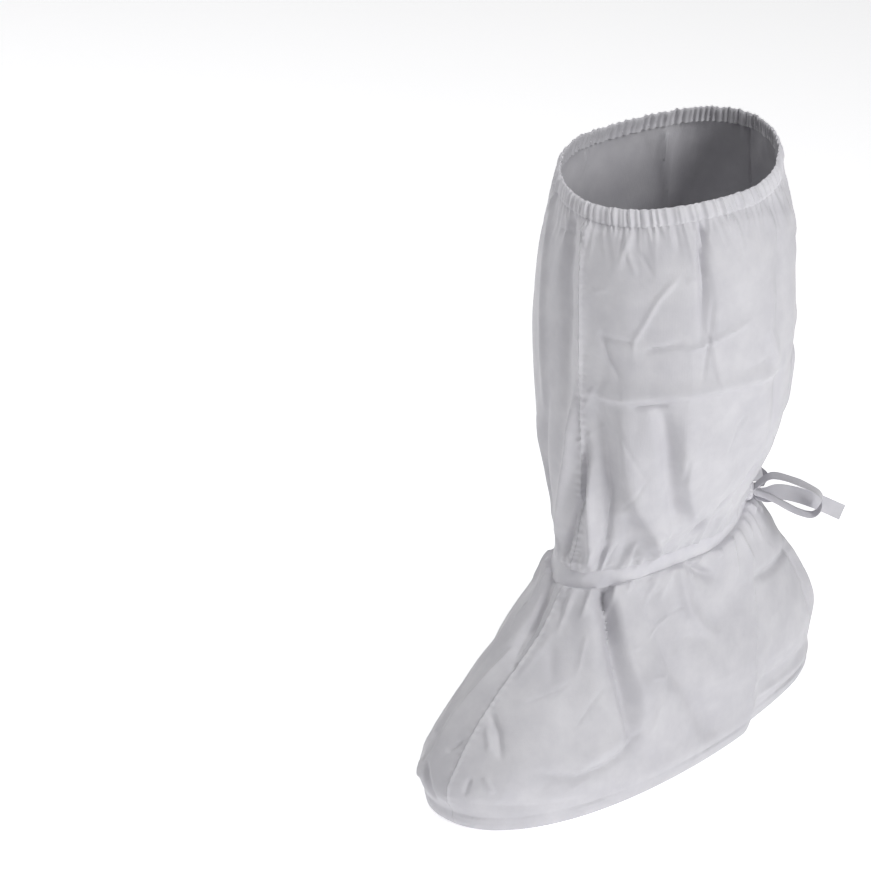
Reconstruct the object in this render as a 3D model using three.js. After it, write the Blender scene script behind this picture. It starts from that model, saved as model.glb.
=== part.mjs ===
import * as THREE from 'three';

// Boot cover for the wearer's left foot, standing as it stands when it is worn.
// A high sleeve of coated nonwoven: a wrapped-up sole, two side panels that meet in a
// front seam and a back seam, a gathered elastic hem and a tape tied round the ankle.
// Millimetres, +Z up. The toe points along -Y, +X is the outer side.
// The origin is on the leg's axis, on the inside face of the sole.

// Named sizes
const footLength = 378;
const footWidth = 150;
const shaftDepth = 188;
const shaftWidth = 193;
const bootHeight = 480;
const cloth = 1.2;
const soleCloth = 1.6;
const seamGap = 0.3;
const soleWall = 14;
const hemHeight = 12;
const hemThickness = 3.2;
const gatherDepth = 1.3;
const pleatsAroundTie = 12;
const pleatDepth = 3.6;
const seamRidge = 2.6;
const bandWidth = 16;
const tapeWidth = 12;
const tapeThickness = 1.2;
const tapeClearance = 0.3;
const knotWidth = 15;
const knotHeight = 14;
const knotDepth = 10;
const loopLength = 49;
const tieEndLength = 66;
const innerBowShift = 10;

// Grid of one side panel: columns from the front seam to the back seam, rows from sole to hem
const panelColumns = 24;
const rowsBelowTie = 17;
const rowsAboveTie = 17;

// Angle round the leg in degrees: 0 at the toe, 90 on the outer side, 180 at the heel.
// Level is a row number in the table of sections below, with fractions between rows.
const rimLevel = 1;
const tieLevel = 8;
const hemLevel = 15;

// Sections of the foot. Reaches and the middle of the oval are shares of footLength, widths of
// footWidth, heights of bootHeight. Fullness 2 is an ellipse, more is squarer. Twist in degrees.
const footSections = [
  // name, toe, heel, outer, inner, middle, toe z, side z, heel z, toe full, heel full, twist
  ['floor', 0.548, 0.402, 0.480, 0.400, 0.175, -0.002, -0.002, -0.002, 2.30, 1.80, 10],
  ['rim', 0.574, 0.434, 0.527, 0.440, 0.175, 0.029, 0.029, 0.029, 2.25, 1.80, 10],
  ['wall', 0.571, 0.434, 0.533, 0.453, 0.175, 0.071, 0.071, 0.071, 2.20, 1.85, 10],
  ['toe top', 0.537, 0.426, 0.510, 0.453, 0.159, 0.115, 0.121, 0.121, 2.10, 1.95, 10],
  ['vamp low', 0.466, 0.399, 0.467, 0.433, 0.122, 0.166, 0.179, 0.183, 2.00, 2.00, 9],
  ['vamp middle', 0.394, 0.360, 0.420, 0.407, 0.079, 0.212, 0.233, 0.242, 2.00, 2.00, 8],
  ['vamp high', 0.320, 0.313, 0.387, 0.380, 0.042, 0.258, 0.285, 0.302, 2.00, 2.00, 6],
  ['under the tie', 0.262, 0.251, 0.353, 0.347, 0.016, 0.307, 0.338, 0.362, 2.00, 2.00, 4],
];

// Sections of the shaft. Reaches are shares of shaftDepth, widths of shaftWidth.
const shaftSections = [
  // name, toe, heel, outer, inner, middle, toe z, side z, heel z, toe full, heel full, twist
  ['tie', 0.468, 0.426, 0.259, 0.249, 0.011, 0.333, 0.368, 0.394, 2.00, 2.00, 4],
  ['above the tie', 0.479, 0.436, 0.290, 0.269, 0.000, 0.362, 0.398, 0.429, 2.00, 2.00, 7],
  ['ankle', 0.489, 0.473, 0.373, 0.342, 0.000, 0.425, 0.460, 0.494, 2.00, 2.00, 11],
  ['calf low', 0.489, 0.500, 0.456, 0.446, 0.000, 0.533, 0.560, 0.583, 2.10, 2.10, 8.5],
  ['calf middle', 0.479, 0.521, 0.497, 0.503, 0.000, 0.677, 0.698, 0.719, 2.10, 2.10, 7],
  ['calf top', 0.468, 0.511, 0.482, 0.461, 0.000, 0.823, 0.840, 0.858, 2.10, 2.10, 6],
  ['below the hem', 0.436, 0.457, 0.435, 0.425, 0.000, 0.906, 0.931, 0.958, 2.00, 2.00, 3],
  ['hem', 0.404, 0.426, 0.399, 0.394, 0.000, 0.942, 0.967, 1.000, 2.00, 2.00, 0],
];

// Folds of the worn cloth: each runs straight from one angle and level to another.
// Width and depth are shares of shaftWidth; a plus depth stands out, a minus depth sinks in.
const folds = [
  // name, from angle, from level, to angle, to level, width, depth
  ['medial crease', -34, 14.4, -22, 10.7, 0.118, 0.018],
  ['side crease', 60, 14.6, 54, 12.5, 0.118, -0.022],
  ['side ridge', 49, 14.6, 46, 12.7, 0.118, 0.014],
  ['back crease', 96, 14.5, 102, 12.8, 0.118, -0.014],
  ['calf shelf, front', 2, 12.10, 44, 12.00, 0.118, 0.020],
  ['calf shelf, back', 44, 12.00, 92, 12.05, 0.118, 0.016],
  ['calf pocket, front', 10, 11.58, 48, 11.52, 0.135, -0.028],
  ['calf pocket, back', 48, 11.52, 86, 11.60, 0.135, -0.022],
  ['calf bulge', 29, 11.6, 33, 10.6, 0.124, 0.024],
  ['groove beside the bulge', 47, 11.7, 51, 10.6, 0.118, -0.020],
  ['ridge beside the groove', 58, 11.4, 72, 10.0, 0.118, 0.026],
  ['dart over the tie', 84, 10.2, 68, 9.3, 0.118, -0.022],
  ['pleat to the tie', 33, 10.9, 50, 9.5, 0.118, 0.022],
  ['groove to the tie', 19, 10.6, 24, 9.6, 0.118, -0.020],
  ['front pleat', 9, 10.8, 16, 9.6, 0.118, 0.018],
  ['back pleat', 96, 11.8, 108, 9.8, 0.118, 0.022],
  ['back groove', 110, 12.0, 120, 10.0, 0.118, -0.022],
  ['instep crease, upper', -6, 7.4, -14, 5.4, 0.104, -0.024],
  ['instep crease, lower', -14, 5.4, -27, 3.0, 0.104, -0.022],
  ['ridge before the deep fold', 14, 6.6, 40, 4.8, 0.112, 0.012],
  ['deep fold, upper', 30, 6.9, 48, 5.6, 0.112, -0.022],
  ['deep fold, lower', 48, 5.6, 77, 2.4, 0.104, -0.036],
  ['broad groove, upper', 56, 6.8, 78, 5.0, 0.116, -0.022],
  ['broad groove, lower', 78, 5.0, 101, 1.8, 0.123, -0.022],
  ['pocket under the tie', 75, 7.0, 93, 6.3, 0.104, -0.020],
  ['ridge under the tie', 80, 6.5, 95, 4.7, 0.104, 0.022],
  ['ridge between the folds', 62, 6.2, 88, 2.6, 0.104, 0.018],
  ['heel dart', 117, 5.6, 146, 5.3, 0.104, -0.022],
  ['heel edge', 112, 5.8, 108, 3.0, 0.104, 0.014],
  ['heel groove', 112, 2.9, 112, 1.6, 0.104, -0.014],
  ['toe smile, front', 38, 2.7, 55, 2.3, 0.104, -0.014],
  ['toe smile, back', 55, 2.3, 72, 2.7, 0.104, -0.014],
  ['toe dent', -14, 2.8, -12, 1.9, 0.104, -0.012],
  ['inner deep fold, upper', -50, 7.0, -74, 4.8, 0.104, -0.026],
  ['inner deep fold, lower', -74, 4.8, -90, 2.8, 0.104, -0.028],
  ['inner ridge', -76, 6.6, -104, 3.0, 0.104, 0.018],
  ['inner broad groove', -92, 6.8, -122, 2.6, 0.116, -0.024],
  ['inner heel dart', -120, 6.8, -148, 4.6, 0.104, -0.022],
  ['inner heel ridge', -150, 6.6, -164, 3.0, 0.104, 0.014],
  ['inner calf shelf', -66, 12.05, -108, 11.95, 0.118, 0.016],
  ['inner calf pocket', -68, 11.5, -112, 11.6, 0.123, -0.026],
  ['inner calf groove', -72, 11.4, -76, 9.9, 0.118, -0.026],
  ['inner calf ridge', -90, 11.7, -86, 9.9, 0.118, 0.024],
  ['inner side crease', -84, 14.5, -92, 12.4, 0.118, -0.022],
  ['inner back groove', -112, 12.8, -108, 10.2, 0.118, -0.022],
  ['back groove, outer', 150, 12.4, 158, 9.9, 0.118, -0.026],
  ['back ridge, outer', 134, 12.0, 143, 10.2, 0.118, 0.020],
  ['back ridge, inner', -158, 12.6, -165, 10.0, 0.118, 0.022],
  ['back groove, inner', -138, 12.0, -148, 9.8, 0.118, -0.024],
  ['back shelf', 120, 12.3, 172, 12.6, 0.118, 0.018],
  ['back inner crease', -132, 14.4, -140, 12.4, 0.118, -0.018],
  ['back outer crease', 132, 14.5, 128, 13.0, 0.118, -0.016],
];

// Wall of the sole from the floor up: height is a share of soleWall, spread a share of the way
// from the floor outline to the rim outline
const soleProfile = [
  // height, spread
  [0.00, 0.00],
  [0.10, 0.45],
  [0.36, 0.82],
  [1.00, 1.00],
];

// Path of one bow loop, in shares of loopLength: out along the bow, and up
const loopPath = [
  // out, up
  [0.155, 0.075],
  [0.190, 0.250],
  [0.300, 0.390],
  [0.610, 0.350],
  [0.890, 0.220],
  [1.000, 0.060],
  [0.955, -0.170],
  [0.850, -0.285],
  [0.690, -0.265],
  [0.510, -0.185],
  [0.300, -0.080],
  [0.155, -0.015],
];

// Path of a free end, in shares of tieEndLength: out along the bow, up, and away to the rear.
// Turn is how far the tape has turned from lying flat to standing on its edge, in degrees.
const endPath = [
  // out, up, rear, turn
  [0.128, -0.095, 0.010, -10],
  [0.200, -0.100, 0.110, -40],
  [0.320, -0.095, 0.185, -68],
  [0.520, -0.130, 0.200, -80],
  [0.740, -0.190, 0.180, -84],
  [1.000, -0.285, 0.150, -84],
];

// Section table in millimetres
function sized(row, length, width) {
  return [
    row[1] * length, row[2] * length, row[3] * width, row[4] * width, row[5] * length,
    row[6] * bootHeight, row[7] * bootHeight, row[8] * bootHeight, row[9], row[10], row[11],
  ];
}

const sections = [
  ...footSections.map((row) => sized(row, footLength, footWidth)),
  ...shaftSections.map((row) => sized(row, shaftDepth, shaftWidth)),
];
// The rim stands as high as the sole's wall, however high the boot is
sections[rimLevel].fill(soleWall, 5, 8);

// Smooth curve through four values at equal steps, between the second and the third
function through(a, b, c, d, share) {
  const s2 = share * share;
  const s3 = s2 * share;
  const leave = (c - a) / 2;
  const arrive = (d - b) / 2;
  return (2 * s3 - 3 * s2 + 1) * b + (s3 - 2 * s2 + share) * leave
    + (-2 * s3 + 3 * s2) * c + (s3 - s2) * arrive;
}

function sectionAt(level) {
  const last = sections.length - 1;
  const at = Math.min(Math.max(level, 0), last);
  const row = Math.min(Math.floor(at), last - 1);
  const before = sections[Math.max(row - 1, 0)];
  const after = sections[Math.min(row + 2, last)];
  return sections[row].map(
    (value, k) => through(before[k], value, sections[row + 1][k], after[k], at - row),
  );
}

const signedPower = (value, power) => Math.sign(value) * Math.abs(value) ** power;

// Smooth body of the cover, before any fold: a point at an angle and a level
function bodyPoint(angle, level) {
  const [toe, heel, outer, inner, middle, toeZ, sideZ, heelZ, toeFull, heelFull, twist]
    = sectionAt(level);
  const turn = THREE.MathUtils.degToRad(angle + twist);
  const ahead = Math.cos(turn);
  const aside = Math.sin(turn);
  const power = 2 / (ahead > 0 ? toeFull : heelFull);
  const reach = ahead > 0 ? toe - middle : heel + middle;
  const rise = ahead > 0 ? toeZ - sideZ : heelZ - sideZ;
  return new THREE.Vector3(
    (aside > 0 ? outer : inner) * signedPower(aside, power),
    -middle - reach * signedPower(ahead, power),
    sideZ + rise * ahead * ahead,
  );
}

// Outward direction of a surface given as a function of angle and level
function outward(surface, angle, level) {
  const low = Math.max(level - 0.03, 0);
  const high = Math.min(level + 0.03, hemLevel);
  const along = surface(angle + 0.6, level).sub(surface(angle - 0.6, level));
  const up = surface(angle, high).sub(surface(angle, low));
  return along.cross(up).normalize();
}

const wrapped = (angle) => THREE.MathUtils.euclideanModulo(angle + 180, 360) - 180;

// Levels and degrees to a millimetre of cloth, at an angle and a level
function levelsPerMm(angle, level) {
  const middle = THREE.MathUtils.clamp(level, 0.3, hemLevel - 0.3);
  return 0.5 / bodyPoint(angle, middle + 0.25).distanceTo(bodyPoint(angle, middle - 0.25));
}
const mmAround = (angle, level) => (
  bodyPoint(angle + 0.5, level).distanceTo(bodyPoint(angle - 0.5, level))
);

// Height of one fold at an angle and a level, in millimetres
function foldHeight(fold, angle, level, mmPerDegree, mmPerLevel) {
  const [, fromAngle, fromLevel, toAngle, toLevel, width, depth] = fold;
  const runX = (toAngle - fromAngle) * mmPerDegree;
  const runY = (toLevel - fromLevel) * mmPerLevel;
  const x = wrapped(angle - fromAngle) * mmPerDegree;
  const y = (level - fromLevel) * mmPerLevel;
  const length = Math.hypot(runX, runY);
  const share = (x * runX + y * runY) / (length * length);
  const nearest = THREE.MathUtils.clamp(share, 0, 1);
  const distance = Math.hypot(x - runX * nearest, y - runY * nearest);
  const half = width * shaftWidth / 2;
  return depth * shaftWidth * Math.exp(-((distance / half) ** 2));
}

// Pleats that the tie squeezes into the cloth, dying out above and below it
function pleatHeight(angle, level) {
  const away = Math.abs(level - tieLevel);
  const strength = THREE.MathUtils.smoothstep(away, 0.62, 1.2)
    * (1 - THREE.MathUtils.smoothstep(away, 1.2, level > tieLevel ? 2.6 : 3.4));
  const wave = Math.cos(THREE.MathUtils.degToRad(angle * pleatsAroundTie + 90));
  const depth = level > tieLevel ? pleatDepth : 0.7 * pleatDepth;
  return depth * strength * wave;
}

// Folds are flat under the tape and at the sole seam
function foldStrength(level) {
  const fromTie = THREE.MathUtils.smoothstep(Math.abs(level - tieLevel), 0.62, 1.1);
  const fromSole = THREE.MathUtils.smoothstep(level, rimLevel, rimLevel + 0.8);
  return fromTie * fromSole;
}

// The front and the back seam stand out as a narrow ridge
function ridgeHeight(angle, level, mmPerDegree) {
  const fromSeam = Math.min(Math.abs(wrapped(angle)), Math.abs(wrapped(angle - 180)));
  const strength = foldStrength(level) * (1 - THREE.MathUtils.smoothstep(level, 14.2, 14.7));
  return seamRidge * strength * Math.exp(-((fromSeam * mmPerDegree / 6) ** 2));
}

function clothPoint(angle, level) {
  const mmPerDegree = mmAround(angle, level);
  const mmPerLevel = 1 / levelsPerMm(angle, level);
  const strength = foldStrength(level);
  let height = pleatHeight(angle, level) + ridgeHeight(angle, level, mmPerDegree);
  for (const fold of folds) {
    height += strength * foldHeight(fold, angle, level, mmPerDegree, mmPerLevel);
  }
  return bodyPoint(angle, level).addScaledVector(outward(bodyPoint, angle, level), height);
}

// Half of the flat band that the tape lies on, in levels
const tapeBand = (angle) => (bandWidth / 2 + 0.6) * levelsPerMm(angle, tieLevel);

function panelTop(angle) {
  const fall = bodyPoint(angle, hemLevel).z - bodyPoint(angle, hemLevel - 1).z;
  return hemLevel - (hemHeight + seamGap) / fall;
}

function panelBottom(angle) {
  const rise = bodyPoint(angle, rimLevel + 1).z - bodyPoint(angle, rimLevel).z;
  return rimLevel + seamGap / rise;
}

// Rows of a panel at one angle: even steps below the tape, the tape band, even steps above it
function panelLevels(angle) {
  const bottom = panelBottom(angle);
  const top = panelTop(angle);
  const band = tapeBand(angle);
  const levels = [];
  for (let k = 0; k < rowsBelowTie; k += 1) {
    levels.push(THREE.MathUtils.lerp(bottom, tieLevel - band, k / rowsBelowTie));
  }
  levels.push(tieLevel - band, tieLevel, tieLevel + band);
  for (let k = 1; k <= rowsAboveTie; k += 1) {
    levels.push(THREE.MathUtils.lerp(tieLevel + band, top, k / rowsAboveTie));
  }
  return levels;
}

// Columns of a panel: one narrow column beside each seam carries the seam ridge
const seamColumn = 1.9;
function panelAngles(side) {
  const angles = [0, seamColumn];
  for (let k = 1; k < panelColumns; k += 1) angles.push(180 * k / panelColumns);
  angles.push(180 - seamColumn, 180);
  return side > 0 ? angles : angles.map((angle) => -angle).reverse();
}

// Small gathers run down from the hem, one wave to every two columns
function gathered(point, direction, column, level, angle) {
  const below = (panelTop(angle) - level) / 1.1;
  const strength = 1 - THREE.MathUtils.clamp(below, 0, 1);
  const side = column % 2 === 0 ? 1 : -1;
  return point.addScaledVector(direction, side * gatherDepth * strength);
}

// Closed shell between an outer and an inner grid; rows go up, columns go round
function shellGeometry(outer, inner, ring) {
  const rows = outer.length;
  const columns = outer[0].length;
  const points = [...outer.flat(), ...inner.flat()];
  const out = (row, column) => row * columns + (column % columns);
  const inn = (row, column) => rows * columns + out(row, column);
  const faces = [];
  const quad = (a, b, c, d) => faces.push(a, b, c, a, c, d);
  const cells = ring ? columns : columns - 1;
  for (let r = 0; r < rows - 1; r += 1) {
    for (let c = 0; c < cells; c += 1) {
      quad(out(r, c), out(r, c + 1), out(r + 1, c + 1), out(r + 1, c));
      quad(inn(r + 1, c), inn(r + 1, c + 1), inn(r, c + 1), inn(r, c));
    }
  }
  const top = rows - 1;
  for (let c = 0; c < cells; c += 1) {
    quad(inn(0, c), inn(0, c + 1), out(0, c + 1), out(0, c));
    quad(out(top, c), out(top, c + 1), inn(top, c + 1), inn(top, c));
  }
  if (!ring) {
    const last = columns - 1;
    for (let r = 0; r < rows - 1; r += 1) {
      quad(out(r + 1, 0), inn(r + 1, 0), inn(r, 0), out(r, 0));
      quad(out(r, last), inn(r, last), inn(r + 1, last), out(r + 1, last));
    }
  }
  return solidGeometry(points, faces);
}

function solidGeometry(points, faces) {
  const geometry = new THREE.BufferGeometry();
  geometry.setFromPoints(points);
  geometry.setIndex(faces);
  geometry.computeVertexNormals();
  return geometry;
}

function piece(name, geometry, color, roughness) {
  const material = new THREE.MeshStandardMaterial({ color, roughness });
  const mesh = new THREE.Mesh(geometry, material);
  mesh.name = name;
  return mesh;
}

// Side panel: side is 1 for the outer one and -1 for the inner one
function panelGeometry(side) {
  const angles = panelAngles(side);
  const last = angles.length - 1;
  const levelsByColumn = angles.map(panelLevels);
  const outer = levelsByColumn[0].map(() => []);
  const inner = levelsByColumn[0].map(() => []);
  angles.forEach((angle, column) => {
    const atSeam = column === 0 || column === last;
    levelsByColumn[column].forEach((level, row) => {
      const flat = outward(bodyPoint, angle, level);
      const point = clothPoint(angle, level);
      const facing = atSeam ? flat : outward(clothPoint, angle, level);
      if (atSeam) {
        const along = bodyPoint(angle + 1, level).sub(bodyPoint(angle - 1, level)).normalize();
        point.addScaledVector(along, (column === 0 ? 1 : -1) * seamGap / 2);
      } else {
        gathered(point, flat, column, level, angle);
      }
      outer[row].push(point);
      inner[row].push(point.clone().addScaledVector(facing, -cloth));
    });
  });
  return shellGeometry(outer, inner, false);
}

// Angles all the way round, the same columns as the two panels
function ringAngles() {
  const outerSide = panelAngles(1).slice(0, -1);
  const innerSide = panelAngles(-1).slice(0, -1);
  return [...outerSide, ...innerSide];
}

// Sole: a flat bottom and a wall turned up all round, open above
function soleGeometry() {
  const angles = [];
  for (let angle = 0; angle < 360; angle += 7.5) angles.push(angle);
  const outer = soleProfile.map(() => []);
  const inner = soleProfile.map(() => []);
  for (const angle of angles) {
    const floor = bodyPoint(angle, 0);
    const rim = bodyPoint(angle, rimLevel);
    const facing = outward(bodyPoint, angle, rimLevel).setZ(0).normalize();
    const spread = rim.clone().sub(floor).setZ(0).dot(facing);
    const across = (row) => soleProfile[row][1] * spread;
    const up = (row) => soleProfile[row][0] * (soleWall + soleCloth) - soleCloth;
    soleProfile.forEach((profile, row) => {
      const point = floor.clone().lerp(rim, profile[1]).setZ(up(row));
      const before = Math.max(row - 1, 0);
      const after = Math.min(row + 1, soleProfile.length - 1);
      const slope = new THREE.Vector2(across(after) - across(before), up(after) - up(before));
      slope.normalize();
      const straightDown = row === 0;
      const wall = straightDown
        ? new THREE.Vector3(0, 0, -1)
        : facing.clone().multiplyScalar(slope.y).setZ(-slope.x);
      if (row === soleProfile.length - 1) wall.copy(facing);
      outer[row].push(point);
      inner[row].push(point.clone().addScaledVector(wall, -soleCloth));
    });
  }
  const rows = soleProfile.length;
  const columns = angles.length;
  const points = [...outer.flat(), ...inner.flat()];
  const heart = bodyPoint(0, 0).add(bodyPoint(180, 0)).multiplyScalar(0.5);
  points.push(heart.clone().setZ(-soleCloth), heart.clone().setZ(0));
  const out = (row, column) => row * columns + (column % columns);
  const inn = (row, column) => rows * columns + out(row, column);
  const below = points.length - 2;
  const above = points.length - 1;
  const faces = [];
  const quad = (a, b, c, d) => faces.push(a, b, c, a, c, d);
  for (let c = 0; c < columns; c += 1) {
    for (let r = 0; r < rows - 1; r += 1) {
      quad(out(r, c), out(r, c + 1), out(r + 1, c + 1), out(r + 1, c));
      quad(inn(r + 1, c), inn(r + 1, c + 1), inn(r, c + 1), inn(r, c));
    }
    quad(out(rows - 1, c), out(rows - 1, c + 1), inn(rows - 1, c + 1), inn(rows - 1, c));
    faces.push(below, out(0, c + 1), out(0, c));
    faces.push(above, inn(0, c), inn(0, c + 1));
  }
  return solidGeometry(points, faces);
}

// Hem: a flattened tube on top of the panels' edge, rippled by the elastic inside it
function hemGeometry() {
  const panels = ringAngles();
  const edge = panels.map((angle) => clothPoint(angle, panelTop(angle)));
  const facing = panels.map((angle) => outward(bodyPoint, angle, hemLevel).setZ(0).normalize());
  const lean = panels.map((angle) => bodyPoint(angle, hemLevel).sub(
    bodyPoint(angle, panelTop(angle)),
  ));
  const half = hemThickness / 2;
  // Corners of the tube's section: across the wall, and up as a share of the hem's height
  const section = [
    [half * 0.7, 0.00],
    [half, 0.45],
    [half * 0.7, 1.00],
    [-half * 0.7, 1.00],
    [-half, 0.45],
    [-half * 0.7, 0.00],
  ];
  const outer = [[], [], []];
  const inner = [[], [], []];
  panels.forEach((angle, column) => {
    const next = (column + 1) % panels.length;
    for (const between of [0, 0.5]) {
      const foot = edge[column].clone().lerp(edge[next], between);
      const tilt = lean[column].clone().lerp(lean[next], between);
      const away = facing[column].clone().lerp(facing[next], between).normalize();
      const ripple = (between === 0 ? 1 : -1) * gatherDepth;
      section.forEach(([across, up], corner) => {
        const wave = ripple * (0.3 + 0.7 * (1 - Math.abs(2 * up - 1)));
        const point = foot.clone().addScaledVector(tilt, up).addScaledVector(
          away, across + wave - cloth / 2,
        );
        point.z = foot.z + seamGap + up * hemHeight;
        if (corner < 3) outer[corner].push(point);
        else inner[5 - corner].push(point);
      });
    }
  });
  return shellGeometry(outer, inner, true);
}

// Tape round the ankle: it follows the cloth under it, a clearance away
function tieGeometry() {
  const outer = [[], [], []];
  const inner = [[], [], []];
  for (const angle of ringAngles()) {
    const reach = (bandWidth / 2) * levelsPerMm(angle, tieLevel);
    [-1, 0, 1].forEach((step, row) => {
      const level = tieLevel + step * reach;
      const facing = outward(bodyPoint, angle, level);
      const point = bodyPoint(angle, level);
      inner[row].push(point.clone().addScaledVector(facing, tapeClearance));
      outer[row].push(point.clone().addScaledVector(facing, tapeClearance + tapeThickness));
    });
  }
  return shellGeometry(outer, inner, true);
}

// Knot: a soft block on the tape at the back, towards the outer side
const knotAngle = 152;
// The band leans under the knot, so the knot sits this much further out than on a plumb wall
const knotSeat = 2.4;
const knotFacing = outward(bodyPoint, knotAngle, tieLevel).setZ(0).normalize();
const knotAlong = new THREE.Vector3(knotFacing.y, -knotFacing.x, 0);
const knotCentre = bodyPoint(knotAngle, tieLevel).addScaledVector(
  knotFacing, tapeClearance + tapeThickness + seamGap + knotDepth / 2 + knotSeat,
);

function knotGeometry() {
  const points = [];
  const faces = [];
  const round = 14;
  const rings = 7;
  const block = (turn, tilt) => {
    const power = 0.62;
    const flat = signedPower(Math.cos(tilt), power);
    return knotCentre.clone()
      .addScaledVector(knotAlong, knotWidth / 2 * flat * signedPower(Math.cos(turn), power))
      .addScaledVector(knotFacing, knotDepth / 2 * flat * signedPower(Math.sin(turn), power))
      .add(new THREE.Vector3(0, 0, knotHeight / 2 * signedPower(Math.sin(tilt), power)));
  };
  for (let r = 1; r < rings; r += 1) {
    for (let c = 0; c < round; c += 1) {
      points.push(block(2 * Math.PI * c / round, Math.PI * (r / rings - 0.5)));
    }
  }
  points.push(block(0, -Math.PI / 2), block(0, Math.PI / 2));
  const at = (r, c) => (r - 1) * round + (c % round);
  const low = points.length - 2;
  const high = points.length - 1;
  for (let c = 0; c < round; c += 1) {
    for (let r = 1; r < rings - 1; r += 1) {
      faces.push(at(r, c), at(r, c + 1), at(r + 1, c + 1));
      faces.push(at(r, c), at(r + 1, c + 1), at(r + 1, c));
    }
    faces.push(low, at(1, c + 1), at(1, c));
    faces.push(high, at(rings - 1, c), at(rings - 1, c + 1));
  }
  return solidGeometry(points, faces);
}

// Tape swept along a path, with its wide side set at every point
function tapeGeometry(path, wide, steps) {
  const centre = new THREE.CatmullRomCurve3(path, false, 'centripetal');
  const sides = new THREE.CatmullRomCurve3(wide, false, 'centripetal');
  const points = [];
  const faces = [];
  for (let k = 0; k <= steps; k += 1) {
    const at = centre.getPoint(k / steps);
    const ahead = centre.getTangent(k / steps);
    const side = sides.getPoint(k / steps);
    side.addScaledVector(ahead, -side.dot(ahead)).normalize();
    const face = ahead.clone().cross(side);
    for (const [across, behind] of [[-1, -1], [1, -1], [1, 1], [-1, 1]]) {
      points.push(at.clone()
        .addScaledVector(side, across * tapeWidth / 2)
        .addScaledVector(face, behind * tapeThickness / 2));
    }
  }
  for (let k = 0; k < steps; k += 1) {
    for (let c = 0; c < 4; c += 1) {
      const a = 4 * k + c;
      const b = 4 * k + (c + 1) % 4;
      faces.push(a, b, b + 4, a, b + 4, a + 4);
    }
  }
  const end = 4 * steps;
  faces.push(0, 2, 1, 0, 3, 2, end, end + 1, end + 2, end, end + 2, end + 3);
  return solidGeometry(points, faces);
}

// The bow's two sides: the way each runs from the knot, how far its root sits off the leg, its
// size beside the outer one, and the direction across the tape that the rear is measured against
const up = new THREE.Vector3(0, 0, 1);
function bowSide(way, shift, grow, hand) {
  const along = way.clone().normalize();
  const across = new THREE.Vector3(along.y, -along.x, 0).multiplyScalar(hand);
  return { way: along, shift, grow, across };
}
const bowSides = {
  outer: bowSide(new THREE.Vector3(0.72, 0.69, 0), 0, 1, 1),
  inner: bowSide(new THREE.Vector3(-0.88, 0.475, 0), innerBowShift, 0.85, -1),
};

function bowPoint(side, out, rise, rear) {
  return knotCentre.clone()
    .addScaledVector(side.way, out)
    .addScaledVector(up, rise)
    .addScaledVector(side.across, -rear)
    .add(new THREE.Vector3(0, side.shift, 0));
}

function loopGeometry(side) {
  const size = loopLength * side.grow;
  const path = loopPath.map(([out, rise]) => bowPoint(side, out * size, rise * size, 0));
  return tapeGeometry(path, path.map(() => side.across.clone()), 30);
}

function tieEndGeometry(side) {
  const size = tieEndLength * side.grow;
  const path = endPath.map(
    ([out, rise, rear]) => bowPoint(side, out * size, rise * size, rear * size),
  );
  const wide = endPath.map(([, , , turn]) => {
    const angle = THREE.MathUtils.degToRad(turn);
    const level = side.across.clone().multiplyScalar(Math.cos(angle));
    return level.addScaledVector(up, Math.sin(angle));
  });
  return tapeGeometry(path, wide, 14);
}

const group = new THREE.Group();
group.name = 'boot_cover';
group.add(piece('sole', soleGeometry(), 0xc9c8cf, 0.75));
group.add(piece('outer_panel', panelGeometry(1), 0xe2e1e6, 0.7));
group.add(piece('inner_panel', panelGeometry(-1), 0xdedde2, 0.7));
group.add(piece('top_hem', hemGeometry(), 0xe9e7e6, 0.75));
group.add(piece('ankle_tie', tieGeometry(), 0xdcdbde, 0.8));
group.add(piece('tie_knot', knotGeometry(), 0xdedde0, 0.8));
group.add(piece('bow_loop_outer', loopGeometry(bowSides.outer), 0xe2e1e3, 0.8));
group.add(piece('bow_loop_inner', loopGeometry(bowSides.inner), 0xe2e1e3, 0.8));
group.add(piece('tie_end_outer', tieEndGeometry(bowSides.outer), 0xe2e1e3, 0.8));
group.add(piece('tie_end_inner', tieEndGeometry(bowSides.inner), 0xe2e1e3, 0.8));
export default group;
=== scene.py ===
# %% [markdown]
# # A high boot cover
# The real object is a disposable overboot: two side panels of white laminated nonwoven, a sole
# of the same cloth turned up all round, a hem gathered by elastic and a tape tied round the
# ankle. It is shown standing as the foot and leg shape it.
# It could be sculpted by hand, draped by a simulation or built from sections. Sections were
# chosen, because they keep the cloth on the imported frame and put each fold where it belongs.
# %% Start from the frame
import math

import bpy
import numpy as np
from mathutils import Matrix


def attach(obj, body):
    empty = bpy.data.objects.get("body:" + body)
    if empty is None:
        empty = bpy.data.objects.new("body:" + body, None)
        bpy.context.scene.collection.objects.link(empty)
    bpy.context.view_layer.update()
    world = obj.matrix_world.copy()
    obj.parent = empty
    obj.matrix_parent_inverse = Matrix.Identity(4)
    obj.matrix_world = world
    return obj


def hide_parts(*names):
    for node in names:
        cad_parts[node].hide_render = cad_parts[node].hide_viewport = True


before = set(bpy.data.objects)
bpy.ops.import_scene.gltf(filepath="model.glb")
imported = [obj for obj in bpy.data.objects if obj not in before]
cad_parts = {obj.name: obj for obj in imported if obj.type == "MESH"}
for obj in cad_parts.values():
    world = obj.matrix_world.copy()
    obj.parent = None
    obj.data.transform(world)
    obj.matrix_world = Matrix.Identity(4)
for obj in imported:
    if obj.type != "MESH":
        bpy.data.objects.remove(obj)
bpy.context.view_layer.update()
MM = 0.001

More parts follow.
